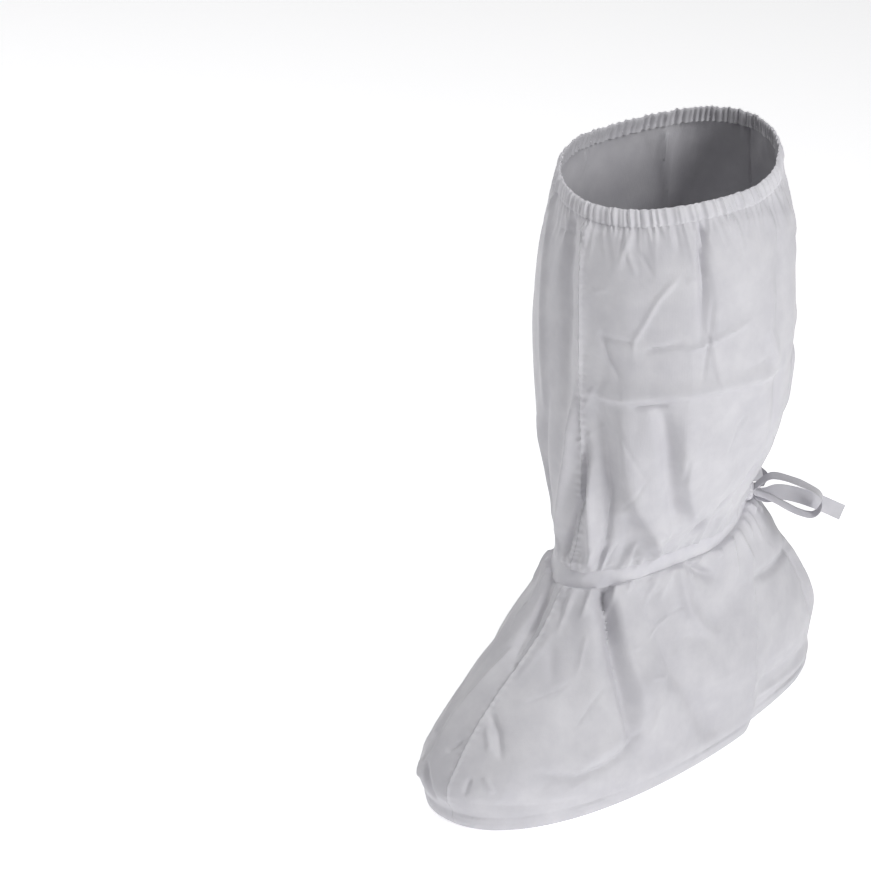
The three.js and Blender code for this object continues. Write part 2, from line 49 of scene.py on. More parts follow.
# %% [markdown]
# ## Camera, light and floor
# The photograph looks down on the toe from the outer side through a fairly long lens. The
# camera's place was worked out from the boot's known corners, so every piece lands where it
# does in the picture.
# %% Camera
CAMERA_YAW = math.radians(50.2619)
CAMERA_PITCH = math.radians(26.3003)
camera_data = bpy.data.cameras.new("camera")
camera_data.sensor_width = 36.0
camera_data.lens = 137.944
camera_data.clip_end = 50.0
camera = bpy.data.objects.new("camera", camera_data)
camera.location = (1.60234, -1.54736, 1.34498)
camera.rotation_euler = (math.pi / 2 - CAMERA_PITCH, 0, CAMERA_YAW)
bpy.context.scene.collection.objects.link(camera)
bpy.context.scene.camera = camera


# %% Colours
def linear(hex_code):
    """An sRGB hex colour as linear red, green, blue and alpha."""
    parts = [int(hex_code[k : k + 2], 16) / 255 for k in (1, 3, 5)]
    turned = [p / 12.92 if p <= 0.04045 else ((p + 0.055) / 1.055) ** 2.4 for p in parts]
    return (*turned, 1.0)


# %% [markdown]
# White cloth on white paper shows its folds only by soft shading. So two broad lamps stand on
# the outer side, one low and one high, and give every fold a light and a dark flank. A strong
# one overhead lights the upper slopes, and two weak ones fill the front and the inner side.
# %% Light
world = bpy.data.worlds.new("studio")
world.use_nodes = True
world.node_tree.nodes["Background"].inputs["Color"].default_value = linear("#F6F6F8")
world.node_tree.nodes["Background"].inputs["Strength"].default_value = 0.03
bpy.context.scene.world = world
bpy.context.scene.view_settings.view_transform = "Standard"


def soft_lamp(name, place, aim, size, power):
    """A round area lamp at a place in metres, turned towards a point."""
    data = bpy.data.lights.new(name, "AREA")
    data.shape = "DISK"
    data.size = size
    data.energy = power
    lamp = bpy.data.objects.new(name, data)
    lamp.location = place
    away = np.array(place, float) - np.array(aim, float)
    level_run = math.hypot(away[0], away[1])
    lamp.rotation_euler = (math.atan2(level_run, away[2]), 0, math.atan2(away[0], -away[1]))
    bpy.context.scene.collection.objects.link(lamp)


MIDDLE_OF_BOOT = (0, 0, 0.22)
soft_lamp("side_lamp", (2.6, -0.15, 1.15), MIDDLE_OF_BOOT, 0.7, 19.0)
soft_lamp("high_side_lamp", (1.9, 0.3, 2.0), MIDDLE_OF_BOOT, 0.7, 24.5)
soft_lamp("high_front_lamp", (0.0, -1.8, 2.2), MIDDLE_OF_BOOT, 1.4, 8.0)
soft_lamp("top_lamp", (-0.9, -0.3, 2.4), MIDDLE_OF_BOOT, 1.2, 21.0)
soft_lamp("inner_side_lamp", (-2.4, -0.7, 1.2), MIDDLE_OF_BOOT, 1.2, 6.5)

# %% [markdown]
# ## The body of the cover
# A worn sleeve of cloth has sections that change smoothly from the footprint to the hem. So the
# body is a table of ovals, one per level, with a smooth curve through them. An angle round the
# leg and a level then name any point of the cloth. Folds, pleats and gathers are heights on top
# of that smooth body, which keeps them easy to place one by one.
# %% Sections of the foot and shaft
FOOT_LENGTH = 378.0
FOOT_WIDTH = 150.0
SHAFT_DEPTH = 188.0
SHAFT_WIDTH = 193.0
BOOT_HEIGHT = 480.0
SOLE_WALL = 14.0
RIM, TIE, HEM = 1, 8, 15

# Reaches and widths are shares of the foot's or the shaft's length and width, heights of the
# boot's. Fullness 2 is an ellipse, more is squarer. Twist is in degrees.
# toe, heel, outer, inner, middle, toe z, side z, heel z, toe fullness, heel fullness, twist
FOOT_SECTIONS = [
    (0.548, 0.402, 0.462, 0.400, 0.175, -0.002, -0.002, -0.002, 2.30, 1.80, 10),
    (0.568, 0.434, 0.507, 0.428, 0.175, 0.029, 0.029, 0.029, 2.25, 1.80, 10),
    (0.576, 0.436, 0.515, 0.440, 0.175, 0.071, 0.071, 0.071, 2.20, 1.85, 10),
    (0.537, 0.436, 0.502, 0.447, 0.159, 0.115, 0.121, 0.121, 2.10, 1.95, 10),
    (0.466, 0.406, 0.467, 0.433, 0.122, 0.166, 0.179, 0.183, 2.00, 2.00, 9),
    (0.394, 0.360, 0.420, 0.407, 0.079, 0.212, 0.233, 0.242, 2.00, 2.00, 8),
    (0.320, 0.313, 0.387, 0.380, 0.042, 0.258, 0.285, 0.302, 2.00, 2.00, 6),
    (0.262, 0.251, 0.353, 0.347, 0.016, 0.307, 0.338, 0.362, 2.00, 2.00, 4),
]
SHAFT_SECTIONS = [
    (0.468, 0.426, 0.259, 0.249, 0.011, 0.333, 0.368, 0.394, 2.00, 2.00, 4),
    (0.479, 0.436, 0.290, 0.269, 0.000, 0.362, 0.398, 0.429, 2.00, 2.00, 7),
    (0.489, 0.473, 0.373, 0.342, 0.000, 0.425, 0.460, 0.494, 2.00, 2.00, 11),
    (0.489, 0.500, 0.456, 0.446, 0.000, 0.533, 0.560, 0.583, 2.10, 2.10, 8.5),
    (0.479, 0.521, 0.497, 0.503, 0.000, 0.677, 0.698, 0.719, 2.10, 2.10, 7),
    (0.468, 0.511, 0.482, 0.461, 0.000, 0.823, 0.840, 0.858, 2.10, 2.10, 6),
    (0.436, 0.457, 0.435, 0.425, 0.000, 0.906, 0.931, 0.958, 2.00, 2.00, 3),
    (0.404, 0.426, 0.399, 0.394, 0.000, 0.942, 0.967, 1.000, 2.00, 2.00, 0),
]


def sized(row, length, width):
    scale = (length, length, width, width, length, BOOT_HEIGHT, BOOT_HEIGHT, BOOT_HEIGHT, 1, 1, 1)
    return [value * by for value, by in zip(row, scale)]


SECTIONS = np.array(
    [sized(row, FOOT_LENGTH, FOOT_WIDTH) for row in FOOT_SECTIONS]
    + [sized(row, SHAFT_DEPTH, SHAFT_WIDTH) for row in SHAFT_SECTIONS]
)
SECTIONS[RIM, 5:8] = SOLE_WALL
print("sections", SECTIONS.shape[0])


# %% A point of the smooth body, in millimetres
def sections_at(level):
    """The section's eleven values at a level, on a smooth curve through the table's rows."""
    last = len(SECTIONS) - 1
    level = np.clip(level, 0, last)
    row = np.minimum(level.astype(int), last - 1)
    s = (level - row)[..., None]
    a, b = SECTIONS[np.maximum(row - 1, 0)], SECTIONS[row]
    c, d = SECTIONS[row + 1], SECTIONS[np.minimum(row + 2, last)]
    leave, arrive = (c - a) / 2, (d - b) / 2
    return (
        (2 * s**3 - 3 * s**2 + 1) * b
        + (s**3 - 2 * s**2 + s) * leave
        + (-2 * s**3 + 3 * s**2) * c
        + (s**3 - s**2) * arrive
    )


def smooth(low, high, value):
    s = np.clip((value - low) / (high - low), 0, 1)
    return s * s * (3 - 2 * s)


def signed_power(value, power):
    return np.sign(value) * np.abs(value) ** power


# Behind the ball of the foot the cloth steps in, and the tape pulls the ankle in at its outer
# back. Depths are in mm, the step's start, deepest place and end are angles, and OUT_X and
# OUT_Y are the direction that points out there
STEP_IN, STEP_ANGLES, STEP_LEVELS = 7.0, (111, 117, 156), (1.4, 4.2)
ANKLE_IN, ANKLE_ANGLE, ANKLE_SPREAD, ANKLE_LEVELS = 6.0, 130, 26, 0.9
OUT_X, OUT_Y = 0.82, 0.57


def outer_tuck(angle, level):
    """How far the cloth is drawn in on the outer side, in mm."""
    start, deepest, end = STEP_ANGLES
    step = smooth(start, deepest, angle % 360) * (1 - smooth(deepest, end, angle % 360))
    round_ankle = (angle % 360 - ANKLE_ANGLE) / ANKLE_SPREAD
    at_ankle = np.exp(-(round_ankle**2) - ((level - TIE) / ANKLE_LEVELS) ** 2)
    return STEP_IN * step * (1 - smooth(*STEP_LEVELS, level)) + ANKLE_IN * at_ankle


def body_point(angle, level):
    """Angle 0 is the toe, 90 the outer side, 180 the heel; level is a row of the table."""
    angle, level = np.broadcast_arrays(np.asarray(angle, float), np.asarray(level, float))
    row = np.moveaxis(sections_at(level), -1, 0)
    toe, heel, outer, inner, middle, toe_z, side_z, heel_z, toe_full, heel_full, twist = row
    turn = np.radians(angle + twist)
    ahead, aside = np.cos(turn), np.sin(turn)
    power = 2 / np.where(ahead > 0, toe_full, heel_full)
    reach = np.where(ahead > 0, toe - middle, heel + middle)
    tuck = outer_tuck(angle, level)
    x = np.where(aside > 0, outer, inner) * signed_power(aside, power) - OUT_X * tuck
    y = -middle - reach * signed_power(ahead, power) - OUT_Y * tuck
    z = side_z + np.where(ahead > 0, toe_z - side_z, heel_z - side_z) * ahead**2
    return np.stack([x, y, z], -1)


def unit(vectors):
    return vectors / np.maximum(np.linalg.norm(vectors, axis=-1, keepdims=True), 1e-9)


def body_outward(angle, level):
    level = np.asarray(level, float)
    along = body_point(angle + 0.6, level) - body_point(angle - 0.6, level)
    up = body_point(angle, np.minimum(level + 0.03, HEM)) - body_point(
        angle, np.maximum(level - 0.03, 0)
    )
    return unit(np.cross(along, up))


# %% Millimetres round and along the cloth
def mm_per_degree(angle, level):
    return np.linalg.norm(body_point(angle + 0.5, level) - body_point(angle - 0.5, level), axis=-1)


def mm_per_level(angle, level):
    level = np.clip(level, 0.3, HEM - 0.3)
    step = body_point(angle, level + 0.25) - body_point(angle, level - 0.25)
    return 2 * np.linalg.norm(step, axis=-1)


TRACK_LEVELS = np.linspace(RIM, HEM, 1400)
track = body_point(np.full(TRACK_LEVELS.shape, 60.0), TRACK_LEVELS)
TRACK_MM = np.concatenate(
    [[0], np.cumsum(np.linalg.norm(np.diff(track, axis=0), axis=1))]
)
print("cloth from rim to hem on the outer side", round(TRACK_MM[-1]), "mm")

# %% [markdown]
# ## Folds, pleats and gathers
# Thin laminated cloth keeps its length, so where the tape and the elastic squeeze it, it stands
# up in folds, and between them it lies in nearly flat facets with sharp edges. A simulation
# finds folds of its own, not the ones of this boot, so the main folds are drawn: each is a short
# path over the body with a width, a depth, how sharp its crest is and which flank is steeper.
# %% The main folds
# path as (angle, level) points, half width in mm, depth in mm, sharpness from 0 soft to 1 crisp,
# lean: above 0 the flank on the left of the way along the path is the steeper one
SHAFT_FOLDS = [
    ([(-11, 16.2), (-9.5, 13.8), (-9, 12.4), (-8, 11.6)], 9.0, -6.0, 0.4, -0.3),
    ([(-40, 15.2), (-31, 13.2), (-27, 12.2), (-25, 11.2)], 8.0, 3.2, 0.8, 0.2),
    ([(-17, 14.4), (-12, 12.8), (-11, 11.9)], 7.0, -1.2, 0.2, 0.0),
    ([(67, 16.4), (61, 14.4), (57, 13.4), (55, 12.45)], 7.0, -5.8, 0.8, -0.8),
    ([(40, 16.0), (39, 14.2), (37, 13.0)], 12.0, 2.4, 0.2, 0.0),
    ([(24, 16.0), (21, 14.2), (19, 12.3)], 18.0, 2.8, 0.1, 0.0),
    ([(10, 15.8), (5, 14.4), (2, 13.7)], 4.0, 2.2, 0.7, 0.0),
    ([(33, 15.8), (25, 13.95), (18, 13.35)], 4.5, 2.4, 0.8, 0.3),
    ([(44, 15.8), (44, 14.2), (46, 13.8)], 3.5, 2.0, 0.7, 0.0),
    ([(50, 15.8), (48, 14.2), (48, 13.6)], 3.0, -1.8, 0.7, 0.0),
    ([(24, 13.75), (27, 13.3)], 3.0, 1.0, 0.8, 0.0),
    ([(29, 13.75), (35, 13.3)], 3.0, -0.9, 0.8, 0.0),
    ([(47, 13.3), (37, 13.0), (30, 12.7), (25, 12.5), (25, 12.3)], 4.0, 1.5, 0.9, 0.4),
    ([(7, 12.52), (17, 12.5), (27, 12.5)], 4.0, -1.2, 0.9, 0.3),
    ([(29, 12.42), (48, 12.48)], 4.0, -1.6, 0.9, 0.5),
    ([(48, 12.38), (57, 12.42), (65, 12.48), (80, 12.58)], 4.5, 1.8, 0.9, -0.3),
    ([(49, 13.2), (61, 13.2)], 4.0, 0.8, 0.6, 0.0),
    ([(9, 12.6), (13, 12.3), (19, 12.1)], 3.5, -1.3, 0.9, 0.0),
    # The calf boundary: a shelf with a steep lower flank, and the slack cloth below it
    ([(-4, 11.9), (14, 11.88), (33, 11.9), (60, 11.9), (81, 11.9), (106, 11.85)], 10.0, 3.6, 0.6, -0.75),
    ([(5, 11.9), (9, 11.5), (13, 11.15), (17, 10.75), (20, 10.3)], 9.0, -5.5, 0.3, -0.4),
    ([(24, 11.80), (42, 11.80)], 3.0, -1.9, 0.6, 0.0),
    ([(21, 11.8), (23, 11.4), (26, 10.95), (32, 10.45), (45, 9.7), (51, 9.1)], 14.0, 7.2, 0.5, -0.6),
    ([(34, 11.9), (39, 11.65), (43, 11.25), (47, 10.65), (54, 9.8)], 9.0, -7.4, 0.5, -0.3),
    ([(50, 11.7), (53, 11.0), (58, 10.35), (67, 9.5)], 9.0, 3.6, 0.4, -0.4),
    ([(74, 11.8), (84, 11.0), (88, 10.4)], 9.0, -3.1, 0.2, 0.0),
    ([(-3, 11.9), (-6, 11.4), (-8, 10.95), (-11, 10.6), (-16, 10.1), (-21, 9.5)], 6.0, 5.8, 0.6, -0.3),
    ([(2, 11.5), (2, 11.0), (2, 10.6), (-3, 10.2), (-7, 9.7), (-9, 9.0)], 5.0, -5.5, 0.6, -0.3),
    ([(6, 11.2), (6, 10.6), (7, 10.2), (9, 9.8), (13, 9.3), (16, 8.7)], 5.5, 5.8, 0.6, -0.2),
    ([(11, 11.2), (14, 10.75), (16, 10.15), (18, 9.5), (20, 8.8)], 5.0, -5.3, 0.6, -0.4),
    ([(24, 10.4), (32, 9.6), (38, 8.9)], 9.0, -3.8, 0.3, -0.3),
    ([(41, 9.9), (50, 9.3), (56, 8.8)], 5.0, 3.6, 0.7, 0.3),
    ([(88, 10.1), (78, 9.6), (69, 9.1)], 4.5, -4.6, 0.7, 0.4),
    ([(104, 10.6), (95, 10.2), (89, 9.7)], 5.0, -3.6, 0.5, 0.0),
    ([(94, 13.0), (90, 12.4), (98, 11.9)], 7.0, 2.6, 0.5, 0.0),
    ([(108, 15.6), (106, 13.6), (98, 13.0)], 6.0, -2.6, 0.5, 0.0),
    ([(66, 15.2), (72, 14.5), (81, 14.45)], 4.0, 2.4, 0.6, 0.0),
    ([(80, 15.6), (74, 14.6), (70, 14.1)], 3.0, -1.9, 0.6, 0.0),
    ([(97, 12.0), (102, 11.2), (104, 10.4)], 8.0, -3.6, 0.4, 0.0),
    ([(-22, 11.6), (-30, 10.8), (-36, 9.8)], 6.0, -3.1, 0.6, 0.0),
    ([(-34, 11.4), (-38, 10.4), (-34, 9.4)], 6.0, 2.6, 0.6, 0.0),
    ([(-49, 9.4), (-45, 8.95)], 3.0, 5.4, 0.8, 0.0),
    ([(-52, 8.2), (-46, 9.4), (-44, 11.2)], 22.0, -4.8, 0.0, 0.0),
]
FOOT_FOLDS = [
    # The wedge on the inner side of the front seam, and the edge of the foot's inner wall
    ([(-8, 8.7), (-16, 7.4), (-12, 6.5), (-11, 5.95), (-10, 5.2)], 6.5, -5.0, 0.5, -0.3),
    ([(-10, 5.9), (-15, 4.95), (-19, 4.25), (-22, 3.65), (-21, 2.9)], 7.0, 2.2, 0.8, -0.6),
    # The two long folds that fan out from the band over the outer side
    ([(20, 8.7), (31, 7.0), (42, 6.05), (51, 5.15), (60, 4.2), (67, 3.4), (74, 2.2)],
     9.0, -8.6, 0.6, -0.5),
    ([(20, 8.7), (31, 7.0), (41, 6.1), (48, 5.4)], 5.5, -4.4, 0.6, -0.4),
    ([(8, 8.2), (22, 6.8), (34, 5.8), (52, 4.2), (60, 3.3)], 9.0, 2.2, 0.3, 0.0),
    ([(30, 8.0), (35, 7.45), (48, 6.05), (58, 5.05), (68, 4.05), (76, 3.0)], 8.0, 3.8, 0.4, -0.3),
    ([(38, 7.8), (46, 7.3), (61, 6.4), (70, 5.45), (81, 4.35), (88, 3.4), (95, 2.2), (101, 0.8)],
     11.0, -5.8, 0.3, -0.3),
    ([(70, 8.1), (81, 7.1), (96, 6.35)], 5.5, -5.6, 0.7, 0.5),
    ([(70, 7.9), (75, 6.8), (82, 5.9), (89, 5.05), (96, 4.5)], 7.0, 4.2, 0.5, -0.4),
    ([(117, 6.6), (111, 4.7), (108, 3.4), (113, 0.8)], 6.0, 2.0, 0.9, 0.8),
    ([(113, 5.6), (126, 5.4), (154, 5.2)], 6.0, -3.6, 0.6, 0.0),
    ([(151, 5.6), (146, 4.5), (143, 3.9), (143, 2.9)], 4.0, -2.6, 0.8, 0.5),
    ([(157, 5.6), (152, 4.5), (149, 3.9), (149, 2.9)], 7.0, 2.8, 0.5, -0.4),
    ([(111, 1.8), (124, 1.5), (148, 1.1)], 5.0, 1.8, 0.6, 0.0),
    ([(111, 2.3), (126, 2.1), (148, 1.7)], 5.0, -1.6, 0.5, 0.0),
    ([(34, 2.7), (53, 2.2), (63, 2.3), (68, 2.5), (74, 3.0)], 5.0, -2.8, 0.7, 0.3),
    ([(40, 3.0), (55, 2.65), (68, 3.0)], 8.0, 1.6, 0.3, 0.0),
    ([(10, 1.6), (34, 1.42), (58, 1.25)], 4.0, -0.8, 0.6, 0.0),
    ([(1, 4.05), (12, 3.6), (20, 3.0)], 4.5, -3.2, 0.8, -0.5),
    ([(5, 3.7), (13, 3.2)], 3.0, 2.0, 0.8, 0.0),
    ([(-10, 2.9), (-3, 3.3)], 3.0, -2.0, 0.8, 0.0),
    ([(9, 2.5), (9, 1.85)], 3.0, -1.9, 0.7, 0.0),
    ([(15, 2.6), (22, 2.0)], 3.0, 1.6, 0.7, 0.0),
    ([(-20, 2.4), (-12, 1.9), (-8, 1.2)], 5.0, -3.4, 0.7, 0.3),
    ([(-26, 2.3), (-24, 1.6)], 6.0, 2.6, 0.7, 0.0),
    ([(-12, 5.7), (1, 4.95)], 4.0, -1.2, 0.7, 0.0),
    ([(12, 5.8), (27, 4.75)], 5.0, -1.4, 0.5, 0.0),
    ([(9, 6.3), (7, 5.5), (5, 4.7)], 4.0, 1.2, 0.5, 0.0),
    ([(132, 3.6), (146, 2.2), (151, 1.2)], 7.0, -1.6, 0.4, 0.0),
    ([(34, 4.7), (51, 2.7)], 8.0, -0.8, 0.3, 0.0),
]
HIDDEN_SIDE_FOLDS = [
    ([(-50, 7.6), (-66, 5.8), (-82, 3.4), (-88, 2.4)], 8.0, -5.2, 0.5, 0.2),
    ([(-44, 7.4), (-58, 5.6), (-70, 3.8)], 7.0, 2.4, 0.3, 0.0),
    ([(-74, 7.4), (-96, 5.2), (-116, 2.6)], 11.0, -4.4, 0.3, 0.0),
    ([(-86, 7.2), (-104, 5.6), (-120, 4.0)], 7.0, 3.2, 0.4, 0.0),
    ([(-120, 7.2), (-136, 5.6), (-150, 4.4)], 7.0, -4.0, 0.5, 0.3),
    ([(-56, 2.9), (-72, 2.4), (-90, 2.8)], 6.0, -2.4, 0.6, 0.3),
    ([(-160, 6.8), (-166, 5.0), (-164, 3.0)], 6.0, 2.4, 0.4, 0.0),
    ([(160, 6.6), (168, 4.6), (164, 2.8)], 7.0, -2.6, 0.4, 0.0),
    ([(-62, 12.0), (-82, 12.05), (-112, 11.95)], 10.0, 2.6, 0.6, 0.75),
    ([(-64, 11.5), (-84, 11.4), (-108, 11.6)], 11.0, -3.6, 0.2, 0.0),
    ([(-70, 11.8), (-74, 10.8), (-76, 9.6)], 7.0, -4.2, 0.5, 0.0),
    ([(-58, 11.2), (-60, 10.3), (-58, 9.4)], 6.5, 2.6, 0.4, 0.0),
    ([(-90, 11.9), (-89, 10.9), (-86, 9.6)], 8.0, 4.2, 0.5, 0.3),
    ([(-84, 15.2), (-88, 13.5), (-92, 12.4)], 7.0, -4.0, 0.7, 0.6),
    ([(-62, 15.2), (-64, 13.2)], 7.0, 2.0, 0.4, 0.0),
    ([(-110, 12.8), (-104, 11.6), (-106, 10.2)], 8.0, -3.4, 0.4, 0.0),
    ([(150, 12.4), (155, 11.2), (158, 9.9)], 8.0, -4.4, 0.5, 0.0),
    ([(134, 12.0), (138, 10.8), (146, 9.6)], 7.0, 3.6, 0.4, 0.0),
    ([(-158, 12.6), (-162, 11.2), (-165, 10.0)], 8.0, 3.8, 0.5, 0.3),
    ([(-138, 11.8), (-142, 10.6), (-150, 9.6)], 7.0, -4.0, 0.5, 0.0),
    ([(114, 12.1), (150, 12.4), (176, 12.5)], 9.0, 1.6, 0.6, -0.7),
    ([(118, 11.7), (150, 11.9), (172, 12.0)], 10.0, -3.0, 0.2, 0.0),
    ([(-130, 15.2), (-136, 13.4), (-142, 12.3)], 7.0, -3.4, 0.7, 0.5),
    ([(132, 15.2), (128, 13.6), (130, 12.7)], 7.0, -3.2, 0.6, 0.0),
    ([(162, 15.0), (158, 13.4)], 6.0, 2.2, 0.4, 0.0),
    ([(118, 15.0), (122, 13.2)], 6.0, 2.0, 0.5, 0.0),
    ([(132, 13.0), (137, 12.1)], 16.0, -3.0, 0.0, 0.0),
]


# %% Height of one fold over the body
# Rough sizes of one degree and one level in mm, for paths and waves that needn't be exact
DEGREE_MM, LEVEL_MM = 1.5, 32
# A fold has died away at this many of its half widths
FOLD_REACH = 3.2


def wrapped(angle):
    return (angle + 180) % 360 - 180


def fold_height(fold, angle, level, round_mm, along_mm):
    """Height in mm of one fold; round_mm and along_mm are the mm of one degree and one level."""
    path, half, depth, crisp, lean = fold
    nearest = np.full(angle.shape, 1e9)
    travelled, flank = np.zeros(angle.shape), np.zeros(angle.shape)
    legs = list(zip(path[:-1], path[1:]))
    spans = [
        math.hypot((a1 - a0) * DEGREE_MM, (l1 - l0) * LEVEL_MM) for (a0, l0), (a1, l1) in legs
    ]
    gone = 0.0
    for ((a0, l0), (a1, l1)), span in zip(legs, spans):
        run_x, run_y = (a1 - a0) * round_mm, (l1 - l0) * along_mm
        x, y = wrapped(angle - a0) * round_mm, (level - l0) * along_mm
        share = np.clip((x * run_x + y * run_y) / (run_x**2 + run_y**2 + 1e-9), 0, 1)
        distance = np.hypot(x - run_x * share, y - run_y * share)
        closer = distance < nearest
        nearest = np.where(closer, distance, nearest)
        travelled = np.where(closer, (gone + span * share) / sum(spans), travelled)
        flank = np.where(closer, np.sign(run_x * y - run_y * x), flank)
        gone += span
    taper = smooth(-0.06, 0.24, travelled) * smooth(-0.06, 0.24, 1 - travelled)
    steep = np.where(flank * lean > 0, 1 - 0.7 * abs(lean), 1 + 0.25 * abs(lean))
    blunt = half * (0.75 - 0.66 * crisp) * steep
    slope = (np.hypot(nearest, blunt) - blunt) / (half * steep * (1.0 - 0.35 * crisp) * 0.62)
    return depth * taper * np.exp(-(slope**1.25))


def folds_height(folds, angle, level, round_mm, along_mm):
    """All the folds' heights on a grid; each is worked out only on the cells it can reach."""
    total = np.zeros(angle.shape)
    for fold in folds:
        angles, levels = np.array(fold[0]).T
        room = FOLD_REACH * fold[1]
        middle, spread = angles.mean(), np.ptp(angles) / 2
        rows = np.any(
            (level > levels.min() - room / along_mm) & (level < levels.max() + room / along_mm), 1
        )
        columns = np.any(np.abs(wrapped(angle - middle)) < spread + room / round_mm, 0)
        if rows.any() and columns.any():
            cell = np.ix_(rows, columns)
            total[cell] += fold_height(
                fold, angle[cell], level[cell], round_mm[cell], along_mm[cell]
            )
    return total


# %% [markdown]
# The small folds are too many to draw. They come from seeded random numbers, so the cover is
# the same at every run: pleats on both sides of the tape, gathers below the hem, and the short
# sharp creases that laminated cloth takes when it is unpacked and worn.
# %% Small pleats and creases
PLEAT_HALF_WIDTH = 3.4
LOOSE_CREASES = 110
CREASE_DEGREE_MM = 1.6


def small_folds():
    """Pleats above and below the tape, then short loose creases all over."""
    draw = np.random.default_rng(7)
    made = []
    angle = 0.0
    while angle < 360:
        angle += draw.uniform(6.0, 11.0)
        lean = draw.uniform(-5, 5)
        reach_up, reach_down = draw.uniform(0.9, 2.2), draw.uniform(0.8, 2.2)
        size = draw.uniform(1.2, 2.8)
        up = [(angle, TIE + 0.3), (angle + lean, TIE + reach_up)]
        made.append((up, PLEAT_HALF_WIDTH, size, 0.6, 0.0))
        start = angle + draw.uniform(-2, 2)
        down = [(start, TIE - 0.3), (start - lean, TIE - reach_down)]
        made.append((down, PLEAT_HALF_WIDTH, size, 0.6, 0.0))
    for _ in range(LOOSE_CREASES):
        a, l = draw.uniform(0, 360), draw.uniform(1.6, 14.4)
        turn, length = draw.uniform(0, math.pi), draw.uniform(10, 38)
        a1 = a + math.cos(turn) * length / CREASE_DEGREE_MM
        l1 = min(l + math.sin(turn) * length / LEVEL_MM, 14.5)
        deep = draw.uniform(0.35, 1.1) * draw.choice([-1, 1])
        half, lean = draw.uniform(2.2, 4.5), draw.uniform(-0.6, 0.6)
        made.append(([(a, l), (a1, l1)], half, deep, 0.9, lean))
    return made


ALL_FOLDS = SHAFT_FOLDS + FOOT_FOLDS + HIDDEN_SIDE_FOLDS + small_folds()
print("folds", len(ALL_FOLDS))


def hem_gathers(angle, below):
    """Fine gathers that hang from the elastic; below is the distance under the hem in mm."""
    draw = np.random.default_rng(21)
    height = np.zeros(angle.shape)
    at = 0.0
    while at < 360:
        at += draw.uniform(1.9, 4.4)
        reach, size, lean = draw.uniform(6, 32), draw.uniform(0.6, 2.1), draw.uniform(-0.12, 0.12)
        across = wrapped(angle - at - lean * below)
        height += size * np.exp(-np.clip(below, 0, None) / reach - across**2)
    return height - 0.6 * np.exp(-np.clip(below, 0, None) / 16)


# %% Slow drift and sharp facets
LEG_RADIUS = 85
WAVES = 14
FACET_CREST, FACET_ROUNDING = 0.7, 0.0015


def drift(angle, level, scale, seed):
    """Slow unevenness of cloth: waves of random direction, about scale mm long and 1 high."""
    draw = np.random.default_rng(seed)
    x = np.cos(np.radians(angle)) * LEG_RADIUS
    y = np.sin(np.radians(angle)) * LEG_RADIUS
    z = level * LEVEL_MM
    total = np.zeros(angle.shape)
    for _ in range(WAVES):
        way = draw.normal(size=3)
        way = way / np.linalg.norm(way) * draw.uniform(0.7, 1.5) / scale * 2 * math.pi
        total += np.sin(way[0] * x + way[1] * y + way[2] * z + draw.uniform(0, 6.28))
    return total / math.sqrt(WAVES)


def creased(angle, level, scale, seed):
    """Facets with sharp edges: the edge runs where a slow random wave passes through zero."""
    wave = drift(angle, level * 0.75, scale, seed)
    return FACET_CREST - np.sqrt(wave**2 + FACET_ROUNDING)


def unevenness(angle, level):
    """Drift and facets added up in mm; the last two numbers of each call are size and seed."""
    strong = 0.35 + 0.65 * smooth(-0.4, 0.9, drift(angle, level, 110, 31))
    total = 1.0 * drift(angle, level, 95, 3)
    total += 1.1 * creased(angle, level, 120, 14) - 0.9 * creased(angle, level, 84, 15)
    total += strong * 0.65 * creased(angle, level, 42, 16)
    return total - strong * 0.5 * creased(angle, level, 30, 17)


# %% [markdown]
# ## The dressed surface
# All heights are added up here and faded out where the cloth is held flat: under the tape and
# at the sole. Beside the tape the slack cloth bulges out over its edges. The front seam laps:
# the outer panel comes forward over the inner one, which gives the seam its light and dark side.
# %% Cloth heights
BAND_HALF_WIDTH = 8.0
HEM_HEIGHT, PANEL_UNDER_HEM, PANEL_UNDER_RIM = 12.0, 9.0, 2.0
STITCH_PITCH = 6.5
# The seam's ridge, its pucker and the rise of the back seam: height and half width in mm
SEAM_RIDGE, RIDGE_HALF = 0.8, 1.4
PUCKER, PUCKER_HALF = 0.38, 4.5
BACK_RISE, BACK_HALF = 1.4, 9
# The lap is proud on the vamp and on the calf, and sinks between two folds over the ankle. It
# dies away within these mm on the outer and the inner side
LAP_FADE_OUTER, LAP_FADE_INNER = 12, 17
LAP_LEVELS = [1.0, 6.0, 7.5, 9.0, 11.2, 11.8, 12.2, 15.0]
LAP_SIZES = [1.8, 2.6, 1.8, 0.2, 0.0, 2.0, 5.0, 5.2]


def seam_height(angle, level, round_mm):
    front = wrapped(angle) * round_mm
    back = np.abs(wrapped(angle - 180)) * round_mm
    lap = np.where(front > 0, np.exp(-front / LAP_FADE_OUTER), np.exp(front / LAP_FADE_INNER))
    lap_size = np.interp(level, LAP_LEVELS, LAP_SIZES)
    mm = np.interp(level, TRACK_LEVELS, TRACK_MM)
    stitches = mm * 2 * math.pi / STITCH_PITCH + 2 * drift(angle * 0, level, 20, 8)
    pucker = PUCKER * np.sin(stitches)
    from_seam = np.minimum(np.abs(front), back)
    near = np.exp(-((from_seam / PUCKER_HALF) ** 2))
    ridge = np.exp(-((from_seam / RIDGE_HALF) ** 2))
    back_rise = BACK_RISE * np.exp(-((back / BACK_HALF) ** 2))
    return lap_size * lap + back_rise + SEAM_RIDGE * ridge + pucker * near


def level_under_top(angle, depth):
    """The level that lies a depth in mm under the top of the hem."""
    fall = body_point(angle, HEM)[..., 2] - body_point(angle, HEM - 1)[..., 2]
    return HEM - depth / fall


